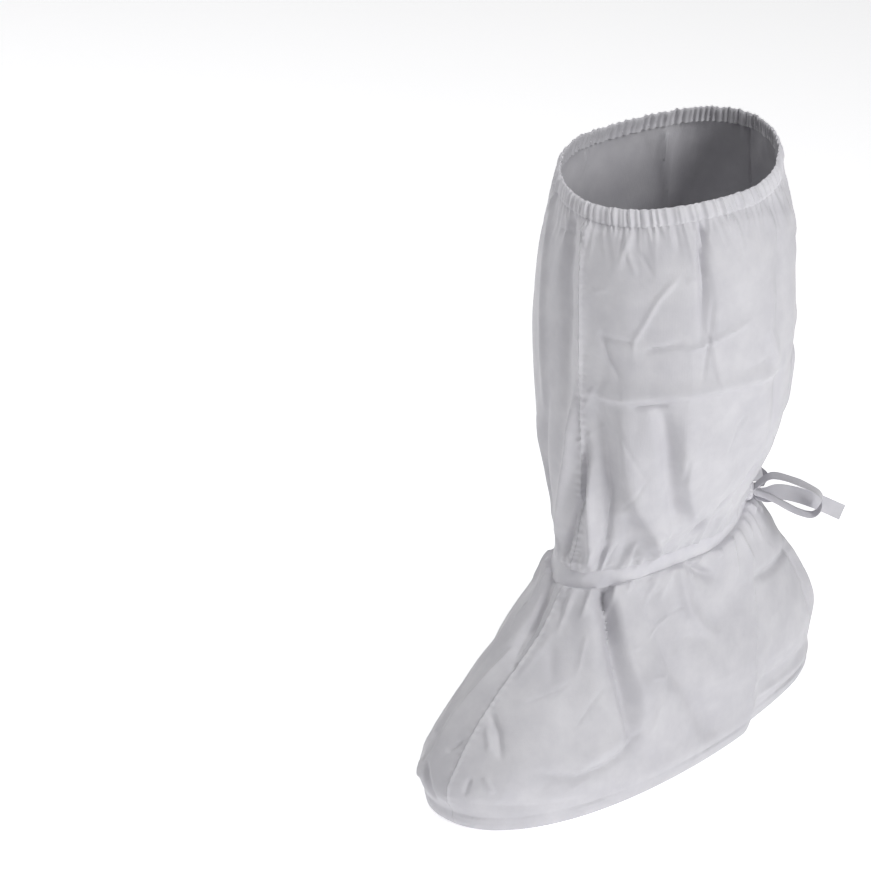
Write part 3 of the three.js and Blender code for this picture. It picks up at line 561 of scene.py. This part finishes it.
def panel_bottom(angle):
    rise = body_point(angle, RIM + 1)[..., 2] - body_point(angle, RIM)[..., 2]
    return RIM - PANEL_UNDER_RIM / rise


# Beside the tape the slack cloth bulges. Distances from the tape's middle and heights in mm
BULGE_FULL, BULGE_FALLS, BULGE_ENDS = 10.4, 11.5, 46
BLOUSE, BLOUSE_OUTER, BLOUSE_INNER, BULGE_BELOW = 1.8, 2.0, 1.2, 1.9


def cloth_height(angle, level):
    round_mm, along_mm = mm_per_degree(angle, level), mm_per_level(angle, level)
    from_tie = np.abs(level - TIE) * along_mm
    total = folds_height(ALL_FOLDS, angle, level, round_mm, along_mm) + unevenness(angle, level)
    total *= smooth(BAND_HALF_WIDTH + 0.3, BAND_HALF_WIDTH + 5.5, from_tie)
    total += seam_height(angle, level, round_mm) * smooth(8.5, 14, from_tie)
    total *= smooth(RIM - 0.02, RIM + 0.6, level)
    bulge = smooth(BAND_HALF_WIDTH, BULGE_FULL, from_tie)
    bulge = bulge * (1 - smooth(BULGE_FALLS, BULGE_ENDS, from_tie))
    over_outer_side = np.exp(-((wrapped(angle - 115) / 34) ** 2))
    over_inner_side = np.exp(-((wrapped(angle + 50) / 34) ** 2))
    blouse = BLOUSE + BLOUSE_OUTER * over_outer_side - BLOUSE_INNER * over_inner_side
    total += np.where(level > TIE, blouse, BULGE_BELOW) * bulge
    below_hem = (level_under_top(angle, HEM_HEIGHT) - level) * along_mm
    total *= smooth(-2, 9, below_hem) * 0.85 + 0.15
    return total + hem_gathers(angle, below_hem) * smooth(HEM - 2.2, HEM - 1.2, level)


def cloth_point(angle, level):
    return (
        body_point(angle, level)
        + body_outward(angle, level) * cloth_height(angle, level)[..., None]
    )


# %% [markdown]
# ## Turning grids into cloth
# Each sheet is a grid of points with a coarser second grid one cloth thickness inside it. The
# two are joined round the edge, so the sheet is closed and has a real cut edge, and the faces
# are spent on the side that is seen.
# %% Sheet from a grid
CLOTH = 0.8


def grid_outward(points, ring):
    along = np.gradient(points, axis=1)
    if ring:
        along = (np.roll(points, -1, axis=1) - np.roll(points, 1, axis=1)) / 2
    return unit(np.cross(along, np.gradient(points, axis=0)))


def cells(index):
    """The four-cornered faces between the rows and columns of an index grid."""
    corners = index[:-1, :-1], index[:-1, 1:], index[1:, 1:], index[1:, :-1]
    return np.stack([c.ravel() for c in corners], 1)


def rim_faces(outside, inside, step):
    """Faces that join one edge of the outer grid to the same edge of the coarser inner grid."""
    fine = [outside[k::step][: len(inside) - 1] for k in range(step, -1, -1)]
    return np.stack([inside[:-1], inside[1:], *fine], 1)


def sheet_mesh(name, points, inside, ring=False, step=1):
    """A closed sheet. A ring's columns meet again; step thins the inner grid."""
    rows, columns = points.shape[:2]
    inside = inside[::step, ::step]
    outer = np.arange(rows * columns).reshape(rows, columns)
    inner = np.arange(inside.shape[0] * inside.shape[1]).reshape(inside.shape[:2]) + outer.size
    places = np.concatenate([points.reshape(-1, 3), inside.reshape(-1, 3)]) * MM
    if ring:
        outer = np.concatenate([outer, outer[:, :1]], axis=1)
        inner = np.concatenate([inner, inner[:, :1]], axis=1)
    groups = [cells(outer), cells(inner)[:, ::-1]]
    groups.append(rim_faces(outer[0], inner[0], step))
    groups.append(rim_faces(outer[-1], inner[-1], step)[:, ::-1])
    if not ring:
        groups.append(rim_faces(outer[:, 0], inner[:, 0], step)[:, ::-1])
        groups.append(rim_faces(outer[:, -1], inner[:, -1], step))
    corners = np.concatenate([g.ravel() for g in groups])
    sizes = np.concatenate([np.full(len(g), g.shape[1]) for g in groups])
    mesh = bpy.data.meshes.new(name)
    mesh.vertices.add(len(places))
    mesh.vertices.foreach_set("co", places.ravel())
    mesh.loops.add(len(corners))
    mesh.loops.foreach_set("vertex_index", corners)
    mesh.polygons.add(len(sizes))
    mesh.polygons.foreach_set("loop_start", np.concatenate([[0], np.cumsum(sizes)[:-1]]))
    mesh.update(calc_edges=True)
    mesh.validate()
    mesh.shade_smooth()
    mesh.set_sharp_from_angle(angle=math.radians(45))
    made = bpy.data.objects.new(name, mesh)
    bpy.context.scene.collection.objects.link(made)
    print(name, "faces", len(mesh.polygons), "area in m2", round(half_area(mesh), 4))
    return made


def half_area(mesh):
    """Half of the surface: the area of the cloth, counted once."""
    return sum(face.area for face in mesh.polygons) / 2


# %% [markdown]
# ## The edge at the floor
# The sole's edge is turned up about 14 mm, and the panels are sewn on over it, so only a narrow
# line of sole shows. The edge has to ease round the toe and heel and stands in small waves. Sole
# and panels follow the same rounded edge, the sole just inside.
# %% Rounded edge of the foot
SOLE_CLOTH = 1.0
SOLE_UNDERSIDE = -1.6
# Up from the underside to the rim, and out from the footprint to the rim, as shares
EDGE_UP = [0.0, 0.02, 0.07, 0.16, 0.30, 0.48, 0.64, 0.78, 0.90, 0.96, 1.0]
EDGE_OUT = [0.0, 0.16, 0.36, 0.56, 0.75, 0.88, 0.94, 0.975, 0.995, 1.0, 1.0]
EDGE_REACH = 11
EDGE_DEGREE_MM, EDGE_PUCKER = 1.9, 0.18


def foot_edge(angle, up, inward):
    """A ring of points on the rounded edge at a share of its height, moved inward in mm."""
    floor_ring, rim = body_point(angle, 0.0), body_point(angle, RIM)
    facing = body_outward(angle, RIM)
    facing[:, 2] = 0
    facing = unit(facing)
    ring = floor_ring + (rim - floor_ring) * np.interp(up, EDGE_UP, EDGE_OUT)
    ring[:, 2] = SOLE_UNDERSIDE + up * (SOLE_WALL - SOLE_UNDERSIDE)
    flat = np.full(angle.shape, up)
    waves = 0.55 * drift(angle, flat * 0.3, 34, 9) + 0.3 * creased(angle, flat * 0.4, 26, 10)
    stitches = angle * EDGE_DEGREE_MM * 2 * math.pi / STITCH_PITCH
    pucker = EDGE_PUCKER * np.sin(stitches) * smooth(0.5, 0.95, up)
    free = smooth(0.05, 0.5, up) * (1 - smooth(0.75, 0.98, up))
    return ring + facing * (waves * free + pucker - inward)[:, None], facing


# %% [markdown]
# ## Side panels
# Each panel is one cut of cloth from the front seam to the back seam. Its rows are spaced evenly
# along the cloth, and its columns crowd towards the seams, where the ridge is narrow. The lowest
# rows go down over the sole's turned-up edge.
# %% Panel grids
PANEL_ROWS, PANEL_COLUMNS, COARSER = 361, 241, 3
SEAM_COLUMNS = [0.0, 0.35, 0.7, 1.05, 1.45, 1.9, 2.4]
# Shares of the sole's edge, from its underside up, that the panels' lowest rows follow
OVER_SOLE = np.linspace(0.16, 0.80, 9)
HALF_SEAM_GAP = 0.12


def row_levels():
    """Levels along the cloth, twice as close beside the tape and closer under the hem."""
    steps = np.linspace(0, TRACK_MM[-1], 2000)
    at_tie = np.interp(TIE, TRACK_LEVELS, TRACK_MM)
    density = 1 + 1.1 * np.exp(-(((steps - at_tie) / 26) ** 2)) + 0.5 * np.exp(-(steps[::-1] / 20))
    gone = np.cumsum(density) - density[0]
    even = np.interp(np.linspace(0, gone[-1], PANEL_ROWS), gone, steps)
    return np.interp(even, TRACK_MM, TRACK_LEVELS)


def panel_grid(side):
    """Side is 1 for the outer panel and -1 for the inner one."""
    middle_columns = PANEL_COLUMNS - 2 * len(SEAM_COLUMNS) + 2
    middle = np.linspace(SEAM_COLUMNS[-1], 180 - SEAM_COLUMNS[-1], middle_columns)
    ends = np.array(SEAM_COLUMNS[:-1])
    angles = np.concatenate([ends, middle, 180 - ends[::-1]])
    if side < 0:
        angles = -angles[::-1]
    share = (row_levels() - RIM) / (HEM - RIM)
    bottom, top = panel_bottom(angles), level_under_top(angles, PANEL_UNDER_HEM)
    level = bottom + (top - bottom) * share[:, None]
    angle = np.broadcast_to(angles, level.shape)
    points = cloth_point(angle, level)
    below = [foot_edge(angles, up, 0.0)[0] for up in OVER_SOLE]
    points = np.concatenate([below, points])
    deeper = np.linspace(0.3, 0.9, len(OVER_SOLE))[:, None] + 0 * angles
    level = np.concatenate([deeper, level])
    angle = np.broadcast_to(angles, level.shape)
    way = unit(body_point(angle + 1, level) - body_point(angle - 1, level))
    points[:, 0] += way[:, 0] * HALF_SEAM_GAP
    points[:, -1] -= way[:, -1] * HALF_SEAM_GAP
    facing = grid_outward(points, False)
    facing[:, [0, -1]] = body_outward(angle, level)[:, [0, -1]]
    return points, points - facing * CLOTH


outer_panel = sheet_mesh("outer_panel_cloth", *panel_grid(1), step=COARSER)
inner_panel = sheet_mesh("inner_panel_cloth", *panel_grid(-1), step=COARSER)

# %% [markdown]
# ## Sole
# The sole is one flat piece, swept from the middle of the footprint outward: flat below, round
# at the edge and nearly upright where the panels are sewn over it.
# %% Sole grids
FLAT_SHARES = (0.02, 0.2, 0.4, 0.6, 0.8, 0.93)
INSIDE_PANELS = 1.3


def sole_grids():
    angle = np.arange(0, 360, 0.6)
    floor_ring = body_point(angle, 0.0)
    heart = (body_point(0.0, 0.0) + body_point(180.0, 0.0)) / 2
    rows, normals = [], []
    for share in FLAT_SHARES:
        flat = heart + (floor_ring - heart) * share
        flat[:, 2] = SOLE_UNDERSIDE
        rows.append(flat)
        normals.append(np.tile([0.0, 0.0, -1.0], (len(angle), 1)))
    wall = SOLE_WALL - SOLE_UNDERSIDE
    rises, reaches = np.gradient(EDGE_UP) * wall, np.gradient(EDGE_OUT) * EDGE_REACH
    for up, rise, reach in zip(EDGE_UP, rises, reaches):
        ring, facing = foot_edge(angle, up, INSIDE_PANELS * smooth(0.02, 0.3, up))
        lean = unit(np.array([reach, rise]))
        rows.append(ring)
        normals.append(facing * lean[1] + np.array([0, 0, -lean[0]]))
    points = np.array(rows)
    return points, points - np.array(normals) * SOLE_CLOTH


sole = sheet_mesh("sole_cloth", *sole_grids(), ring=True)

# %% [markdown]
# ## Hem
# The hem is a strip of the panel folded over a flat elastic and stitched down. The elastic pulls
# it in, so the strip and the cloth below it stand up in the same small, uneven gathers.
# %% Hem grids
# across the wall, and up from the panels' top edge, which is 9 mm under the hem's top
HEM_PROFILE = [(0.1, -3.2), (0.6, -2.9), (1.0, -2.0), (1.2, -0.6), (1.05, 0.9), (1.2, 2.6),
               (1.3, 4.6), (1.2, 6.6), (0.85, 8.1), (0.3, 8.9), (-0.3, 9.0), (-0.8, 8.5),
               (-1.2, 6.6), (-1.3, 4.0), (-1.35, 1.4), (-1.4, -0.8), (-1.4, -3.0)]
HEM_CLOTH = 0.5
HEM_UNEVEN = 170


def hem_grids():
    angle = np.arange(0, 360, 0.5)
    top = level_under_top(angle, PANEL_UNDER_HEM)
    edge = cloth_point(angle[None], top[None])[0]
    lean = body_point(angle, HEM) - body_point(angle, top)
    facing = body_outward(angle, HEM - 0.2)
    facing[:, 2] = 0
    facing = unit(facing)
    draw = np.random.default_rng(5)
    knots = np.linspace(0, 360, HEM_UNEVEN)
    uneven = np.interp(angle, knots, draw.normal(size=HEM_UNEVEN), period=360)
    wave = hem_gathers(angle, np.zeros(angle.shape))
    rows = []
    for across, up in HEM_PROFILE:
        share = min(max(up / PANEL_UNDER_HEM, 0), 1)
        swell = -0.25 * share * wave + 0.35 * uneven * math.sin(math.pi * share)
        ring = edge + lean * share + facing * (across + 0.3 + swell)[:, None]
        ring[:, 2] = edge[:, 2] + up + (0.25 * uneven + 0.15 * wave) * share
        rows.append(ring)
    points = np.array(rows)
    return points, points - grid_outward(points, True) * HEM_CLOTH


hem = sheet_mesh("hem_casing_cloth", *hem_grids(), ring=True)

# %% [markdown]
# ## Ankle band and bow
# A strip of the same cloth, folded and sewn flat, lies round the squeezed ankle. Its two ends
# are tied at the back in a bow, whose loops stand open because the folded strip is stiff.
# %% Band round the ankle
TAPE = 0.6
LEAST_LIFT = 0.12


def band_grids():
    angle = np.arange(0, 360, 0.6)
    along = mm_per_level(angle, np.full(angle.shape, float(TIE)))
    rows = []
    low = body_point(angle, TIE - BAND_HALF_WIDTH / along)
    high = body_point(angle, TIE + BAND_HALF_WIDTH / along)
    facing = body_outward(angle, float(TIE))
    for up in np.linspace(0, 1, 13):
        level = TIE + (up - 0.5) / 2
        lift = 0.30 + 0.20 * drift(angle, level, 60, 12) + 0.2 * creased(angle, level * 2, 40, 13)
        rows.append(low + (high - low) * up + facing * np.maximum(lift, LEAST_LIFT)[:, None])
    inside = np.array(rows)
    return inside + grid_outward(inside, True) * TAPE, inside


band = sheet_mesh("ankle_band_tape", *band_grids(), ring=True)

# %% The bow's places
KNOT_ANGLE = 146.0
KNOT_OUT, KNOT_RAISED = 6.0, 3.0
knot_facing = body_outward(np.array(KNOT_ANGLE), np.array(float(TIE)))
knot_facing[2] = 0
knot_facing = unit(knot_facing)
knot_along = np.array([knot_facing[1], -knot_facing[0], 0])
UP = np.array([0.0, 0.0, 1.0])
knot_centre = body_point(KNOT_ANGLE, float(TIE)) + knot_facing * KNOT_OUT + UP * KNOT_RAISED
LOOP_LENGTH, END_LENGTH = 56.0, 72.0
# Places as shares of the loop's length: out from the knot, up
LOOP_PATH = [(0.08, 0.05), (0.20, 0.17), (0.34, 0.24), (0.61, 0.18), (0.88, 0.06), (1.0, -0.06),
             (0.985, -0.22), (0.88, -0.32), (0.70, -0.29), (0.51, -0.20), (0.30, -0.09),
             (0.08, -0.01)]
# Places as shares of the end's length: out, up, to the rear, and the turn of the strip
END_PATH = [(0.06, -0.05, 0.010, -10), (0.20, -0.10, 0.11, -40), (0.32, -0.095, 0.185, -68),
            (0.52, -0.13, 0.20, -74), (0.74, -0.19, 0.18, -68), (1.0, -0.285, 0.15, -64)]
# Way out from the knot, shift to the rear in mm, size, hand
BOW_SIDES = {
    "outer": (unit(np.array([0.72, 0.69, 0.0])), 0.0, 1.0, 1.0),
    "inner": (unit(np.array([-0.88, 0.475, 0.0])), 10.0, 0.85, -1.0),
}


def curve_through(points, steps):
    """Evenly spaced points on a smooth curve through the given ones."""
    p = np.array(points, float)
    p = np.concatenate([2 * p[:1] - p[1:2], p, 2 * p[-1:] - p[-2:-1]])
    spots = []
    for a, b, c, d in zip(p, p[1:], p[2:], p[3:]):
        for s in np.linspace(0, 1, 24, endpoint=False):
            bend = (2 * a - 5 * b + 4 * c - d) * s**2 + (3 * b - a - 3 * c + d) * s**3
            spots.append(0.5 * (2 * b + (c - a) * s + bend))
    spots = np.array([*spots, p[-2]])
    gone = np.concatenate([[0], np.cumsum(np.linalg.norm(np.diff(spots[:, :3], axis=0), axis=1))])
    even = np.linspace(0, gone[-1], steps)
    return np.stack([np.interp(even, gone, column) for column in spots.T], 1)


# %% A folded strip along a path
TAPE_WIDTH = 12.0


def tape_strip(name, centre, side):
    """Rows run along the strip, columns across it; its two long edges stand a little proud."""
    ahead = unit(np.gradient(centre, axis=0))
    side = unit(side - ahead * (side * ahead).sum(-1, keepdims=True))
    face = np.cross(ahead, side)
    across = np.linspace(-1, 1, 13)
    rows = len(centre)
    draw = np.random.default_rng(len(name))
    slow = np.interp(np.arange(rows), np.linspace(0, rows, 14), draw.normal(size=14))
    cup = 0.55 * (1 - across**2)[None, :] + 0.22 * slow[:, None] * across[None, :]
    points = (
        centre[:, None]
        + side[:, None] * (across * TAPE_WIDTH / 2)[None, :, None]
        + face[:, None] * cup[..., None]
    )
    facing = unit(np.cross(np.gradient(points, axis=1), np.gradient(points, axis=0)))
    edge = np.abs(across) > 0.97
    stitch = np.abs(np.abs(across) - 0.83) < 0.05
    thick = TAPE / 2 * (1 - 0.45 * edge - 0.3 * stitch)
    lift = facing * thick[None, :, None]
    return sheet_mesh(name, points + lift, points - lift)


def bow_across(side_name):
    """Level direction across one side of the bow, towards the front."""
    way, _, _, hand = BOW_SIDES[side_name]
    return np.array([way[1], -way[0], 0]) * hand


def bow_place(side_name, out, rise, rear):
    way, shift, _, _ = BOW_SIDES[side_name]
    level_spot = knot_centre + way * out + UP * rise - bow_across(side_name) * rear
    return level_spot + np.array([0, shift, 0])


def bow_loop(side_name):
    size = LOOP_LENGTH * BOW_SIDES[side_name][2]
    centre = curve_through([bow_place(side_name, o * size, r * size, 0) for o, r in LOOP_PATH], 110)
    side = np.tile(bow_across(side_name), (len(centre), 1))
    return tape_strip(f"bow_loop_{side_name}_tape", centre, side)


def tie_end(side_name):
    across = bow_across(side_name)
    size = END_LENGTH * BOW_SIDES[side_name][2]
    path = [
        [*bow_place(side_name, out * size, rise * size, rear * size), turn]
        for out, rise, rear, turn in END_PATH
    ]
    curve = curve_through(path, 80)
    turn = np.radians(curve[:, 3:4])
    return tape_strip(
        f"tie_end_{side_name}_tape", curve[:, :3], across * np.cos(turn) + UP * np.sin(turn)
    )


loops = {name: bow_loop(name) for name in BOW_SIDES}
ends = {name: tie_end(name) for name in BOW_SIDES}


# %% Knot
KNOT_HALF_LENGTH, KNOT_HALF_DEPTH, KNOT_HALF_HEIGHT = 7.0, 4.9, 6.6
KNOT_HOLLOW = 0.2


def knot_mesh():
    """A strip wrapped once round the crossing: squarish, waisted, with a slanting crease."""
    turn = np.radians(np.arange(0, 360, 4))
    rows = []
    for tilt in np.linspace(-1, 1, 31):
        flat = 1 - 0.42 * abs(tilt) ** 3.0
        waist = 1 + 0.10 * math.cos(math.pi * tilt * 2.0)
        crease = 1 - 0.10 * np.exp(-(((tilt - 0.35 * np.cos(turn)) / 0.16) ** 2))
        c, s = signed_power(np.cos(turn), 0.7), signed_power(np.sin(turn), 0.7)
        rows.append(
            knot_centre
            + knot_along * (KNOT_HALF_LENGTH * flat * waist * crease * c)[:, None]
            + knot_facing * (KNOT_HALF_DEPTH * flat * waist * crease * s)[:, None]
            + UP * (KNOT_HALF_HEIGHT * tilt + 0.7 * np.sin(turn * 2))[:, None]
        )
    points = np.array(rows)
    core = points.mean(axis=1, keepdims=True)
    return sheet_mesh("tie_knot_tape", points, core + (points - core) * KNOT_HOLLOW, ring=True)


knot = knot_mesh()


# %% [markdown]
# ## Materials
# The cloth is a polypropylene nonwoven with a thin plastic film laminated on the outside. Heat
# rollers bond it in a grid of small dots. It is white, but thick enough to read as a soft grey
# in shade, and it scatters light through and over its fibres, which the sheen stands for.
# %% Node helper
def add_node(tree, kind, settings, **links):
    """Adds a node, sets its inputs and options, and links its inputs to output sockets."""
    node = tree.nodes.new(kind)
    for key, value in settings.items():
        if key in node.inputs:
            node.inputs[key].default_value = value
        else:
            setattr(node, key, value)
    for key, socket in links.items():
        tree.links.new(socket, node.inputs[key.replace("_", " ")])
    return node


def two_tone(tree, factor, colour, shade):
    """A colour ramp between the cloth's lighter and darker tone."""
    ramp = add_node(tree, "ShaderNodeValToRGB", {}, Fac=factor)
    ramp.color_ramp.elements[0].position, ramp.color_ramp.elements[1].position = 0.38, 0.66
    ramp.color_ramp.elements[0].color = linear(shade)
    ramp.color_ramp.elements[1].color = linear(colour)
    return ramp.outputs["Color"]


# %% [markdown]
# Three sizes of detail make the cloth: faint clouds where the fibres lie thicker, about 25 mm
# across; soft crumples of 4 to 10 mm left by packing; and the bonded dots. Real dots stand about
# 1 mm apart, which is finer than a pixel here, so they are drawn 1.3 to 1.8 mm apart.
# %% Cloth material
def cloth_material(name, colour, shade, roughness, dot_pitch_mm, crumple):
    made = bpy.data.materials.new(name)
    made.use_nodes = True
    tree = made.node_tree
    tree.nodes.clear()
    place = add_node(tree, "ShaderNodeTexCoord", {}).outputs["Object"]
    clouds = add_node(
        tree, "ShaderNodeTexNoise", {"Scale": 40.0, "Detail": 4.0, "Roughness": 0.6}, Vector=place
    )
    dots = add_node(
        tree,
        "ShaderNodeTexVoronoi",
        {"Scale": 1000.0 / dot_pitch_mm, "Randomness": 0.3},
        Vector=place,
    )
    folds = add_node(
        tree,
        "ShaderNodeTexNoise",
        {"Scale": 130.0, "Detail": 5.0, "Roughness": 0.6, "Distortion": 0.8},
        Vector=place,
    )
    dotted = add_node(
        tree,
        "ShaderNodeBump",
        {"Strength": 0.22, "Distance": 0.00025},
        Height=dots.outputs["Distance"],
    )
    crumpled = add_node(
        tree,
        "ShaderNodeBump",
        {"Strength": crumple, "Distance": 0.0007},
        Height=folds.outputs["Fac"],
        Normal=dotted.outputs["Normal"],
    )
    shader = add_node(
        tree,
        "ShaderNodeBsdfPrincipled",
        {"Roughness": roughness, "IOR": 1.49, "Sheen Weight": 0.12, "Sheen Roughness": 0.5},
        Normal=crumpled.outputs["Normal"],
        Base_Color=two_tone(tree, clouds.outputs["Fac"], colour, shade),
    )
    add_node(tree, "ShaderNodeOutputMaterial", {}, Surface=shader.outputs["BSDF"])
    return made


# Film side out: a dull white with a little gloss, polypropylene's index 1.49
laminate = cloth_material("laminated_nonwoven", "#CDCCD0", "#C4C3C8", 0.55, 1.4, 0.22)
# The sole's cloth is painted a little darker than the panels, painted shade that keeps its turned-up
# edge from standing out lighter; it is also duller
sole_nonwoven_painted_shade = cloth_material("painted_shade_sole_nonwoven", "#CAC9CD", "#C1C0C5", 0.62, 1.8, 0.20)
# Two layers lie over the elastic in the hem, so less shade shows through
hem_laminate = cloth_material("doubled_nonwoven", "#D3D2D6", "#CAC9CE", 0.6, 1.4, 0.22)
# The tape is the cloth folded in four and stitched flat, the whitest piece of all
tape_nonwoven = cloth_material(
    "folded_and_stitched_nonwoven", "#D6D5D9", "#CDCCD2", 0.65, 1.3, 0.15
)

# %% Floor
FLOOR_HALF, FLOOR_BELOW = 6.0, 0.2
FLOOR_Z = (SOLE_UNDERSIDE - FLOOR_BELOW) * MM
floor_mesh = bpy.data.meshes.new("floor")
floor_mesh.from_pydata(
    [
        (x * FLOOR_HALF, y * FLOOR_HALF, FLOOR_Z)
        for x, y in ((-1, -1), (1, -1), (1, 1), (-1, 1))
    ],
    [],
    [(0, 1, 2, 3)],
)
floor = bpy.data.objects.new("floor", floor_mesh)
bpy.context.scene.collection.objects.link(floor)
paper = bpy.data.materials.new("pale_paper")
paper.use_nodes = True
paper_shader = paper.node_tree.nodes["Principled BSDF"]
paper_shader.inputs["Base Color"].default_value = linear("#F6F6F8")
paper_shader.inputs["Roughness"].default_value = 0.9
paper_shader.inputs["Emission Color"].default_value = linear("#FFFFFF")
paper_shader.inputs["Emission Strength"].default_value = 0.56
floor_mesh.materials.append(paper)

# %% [markdown]
# ## Joining the pieces to the frame
# Every piece rides on the frame's root, stands in for one node of the imported part and takes one
# finish.
# %% Ride, replace and take the finish
PIECES = [
    (outer_panel, "outer_panel", "panel_cloth", laminate),
    (inner_panel, "inner_panel", "panel_cloth", laminate),
    (sole, "sole", "sole_cloth", sole_nonwoven_painted_shade),
    (hem, "top_hem", "hem_cloth", hem_laminate),
    (band, "ankle_tie", "tie_tape", tape_nonwoven),
    (knot, "tie_knot", "tie_tape", tape_nonwoven),
    (loops["outer"], "bow_loop_outer", "tie_tape", tape_nonwoven),
    (loops["inner"], "bow_loop_inner", "tie_tape", tape_nonwoven),
    (ends["outer"], "tie_end_outer", "tie_tape", tape_nonwoven),
    (ends["inner"], "tie_end_inner", "tie_tape", tape_nonwoven),
]
for thing, node, slot, finish in PIECES:
    thing.data.materials.append(finish)
    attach(thing, "root")
    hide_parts(node)
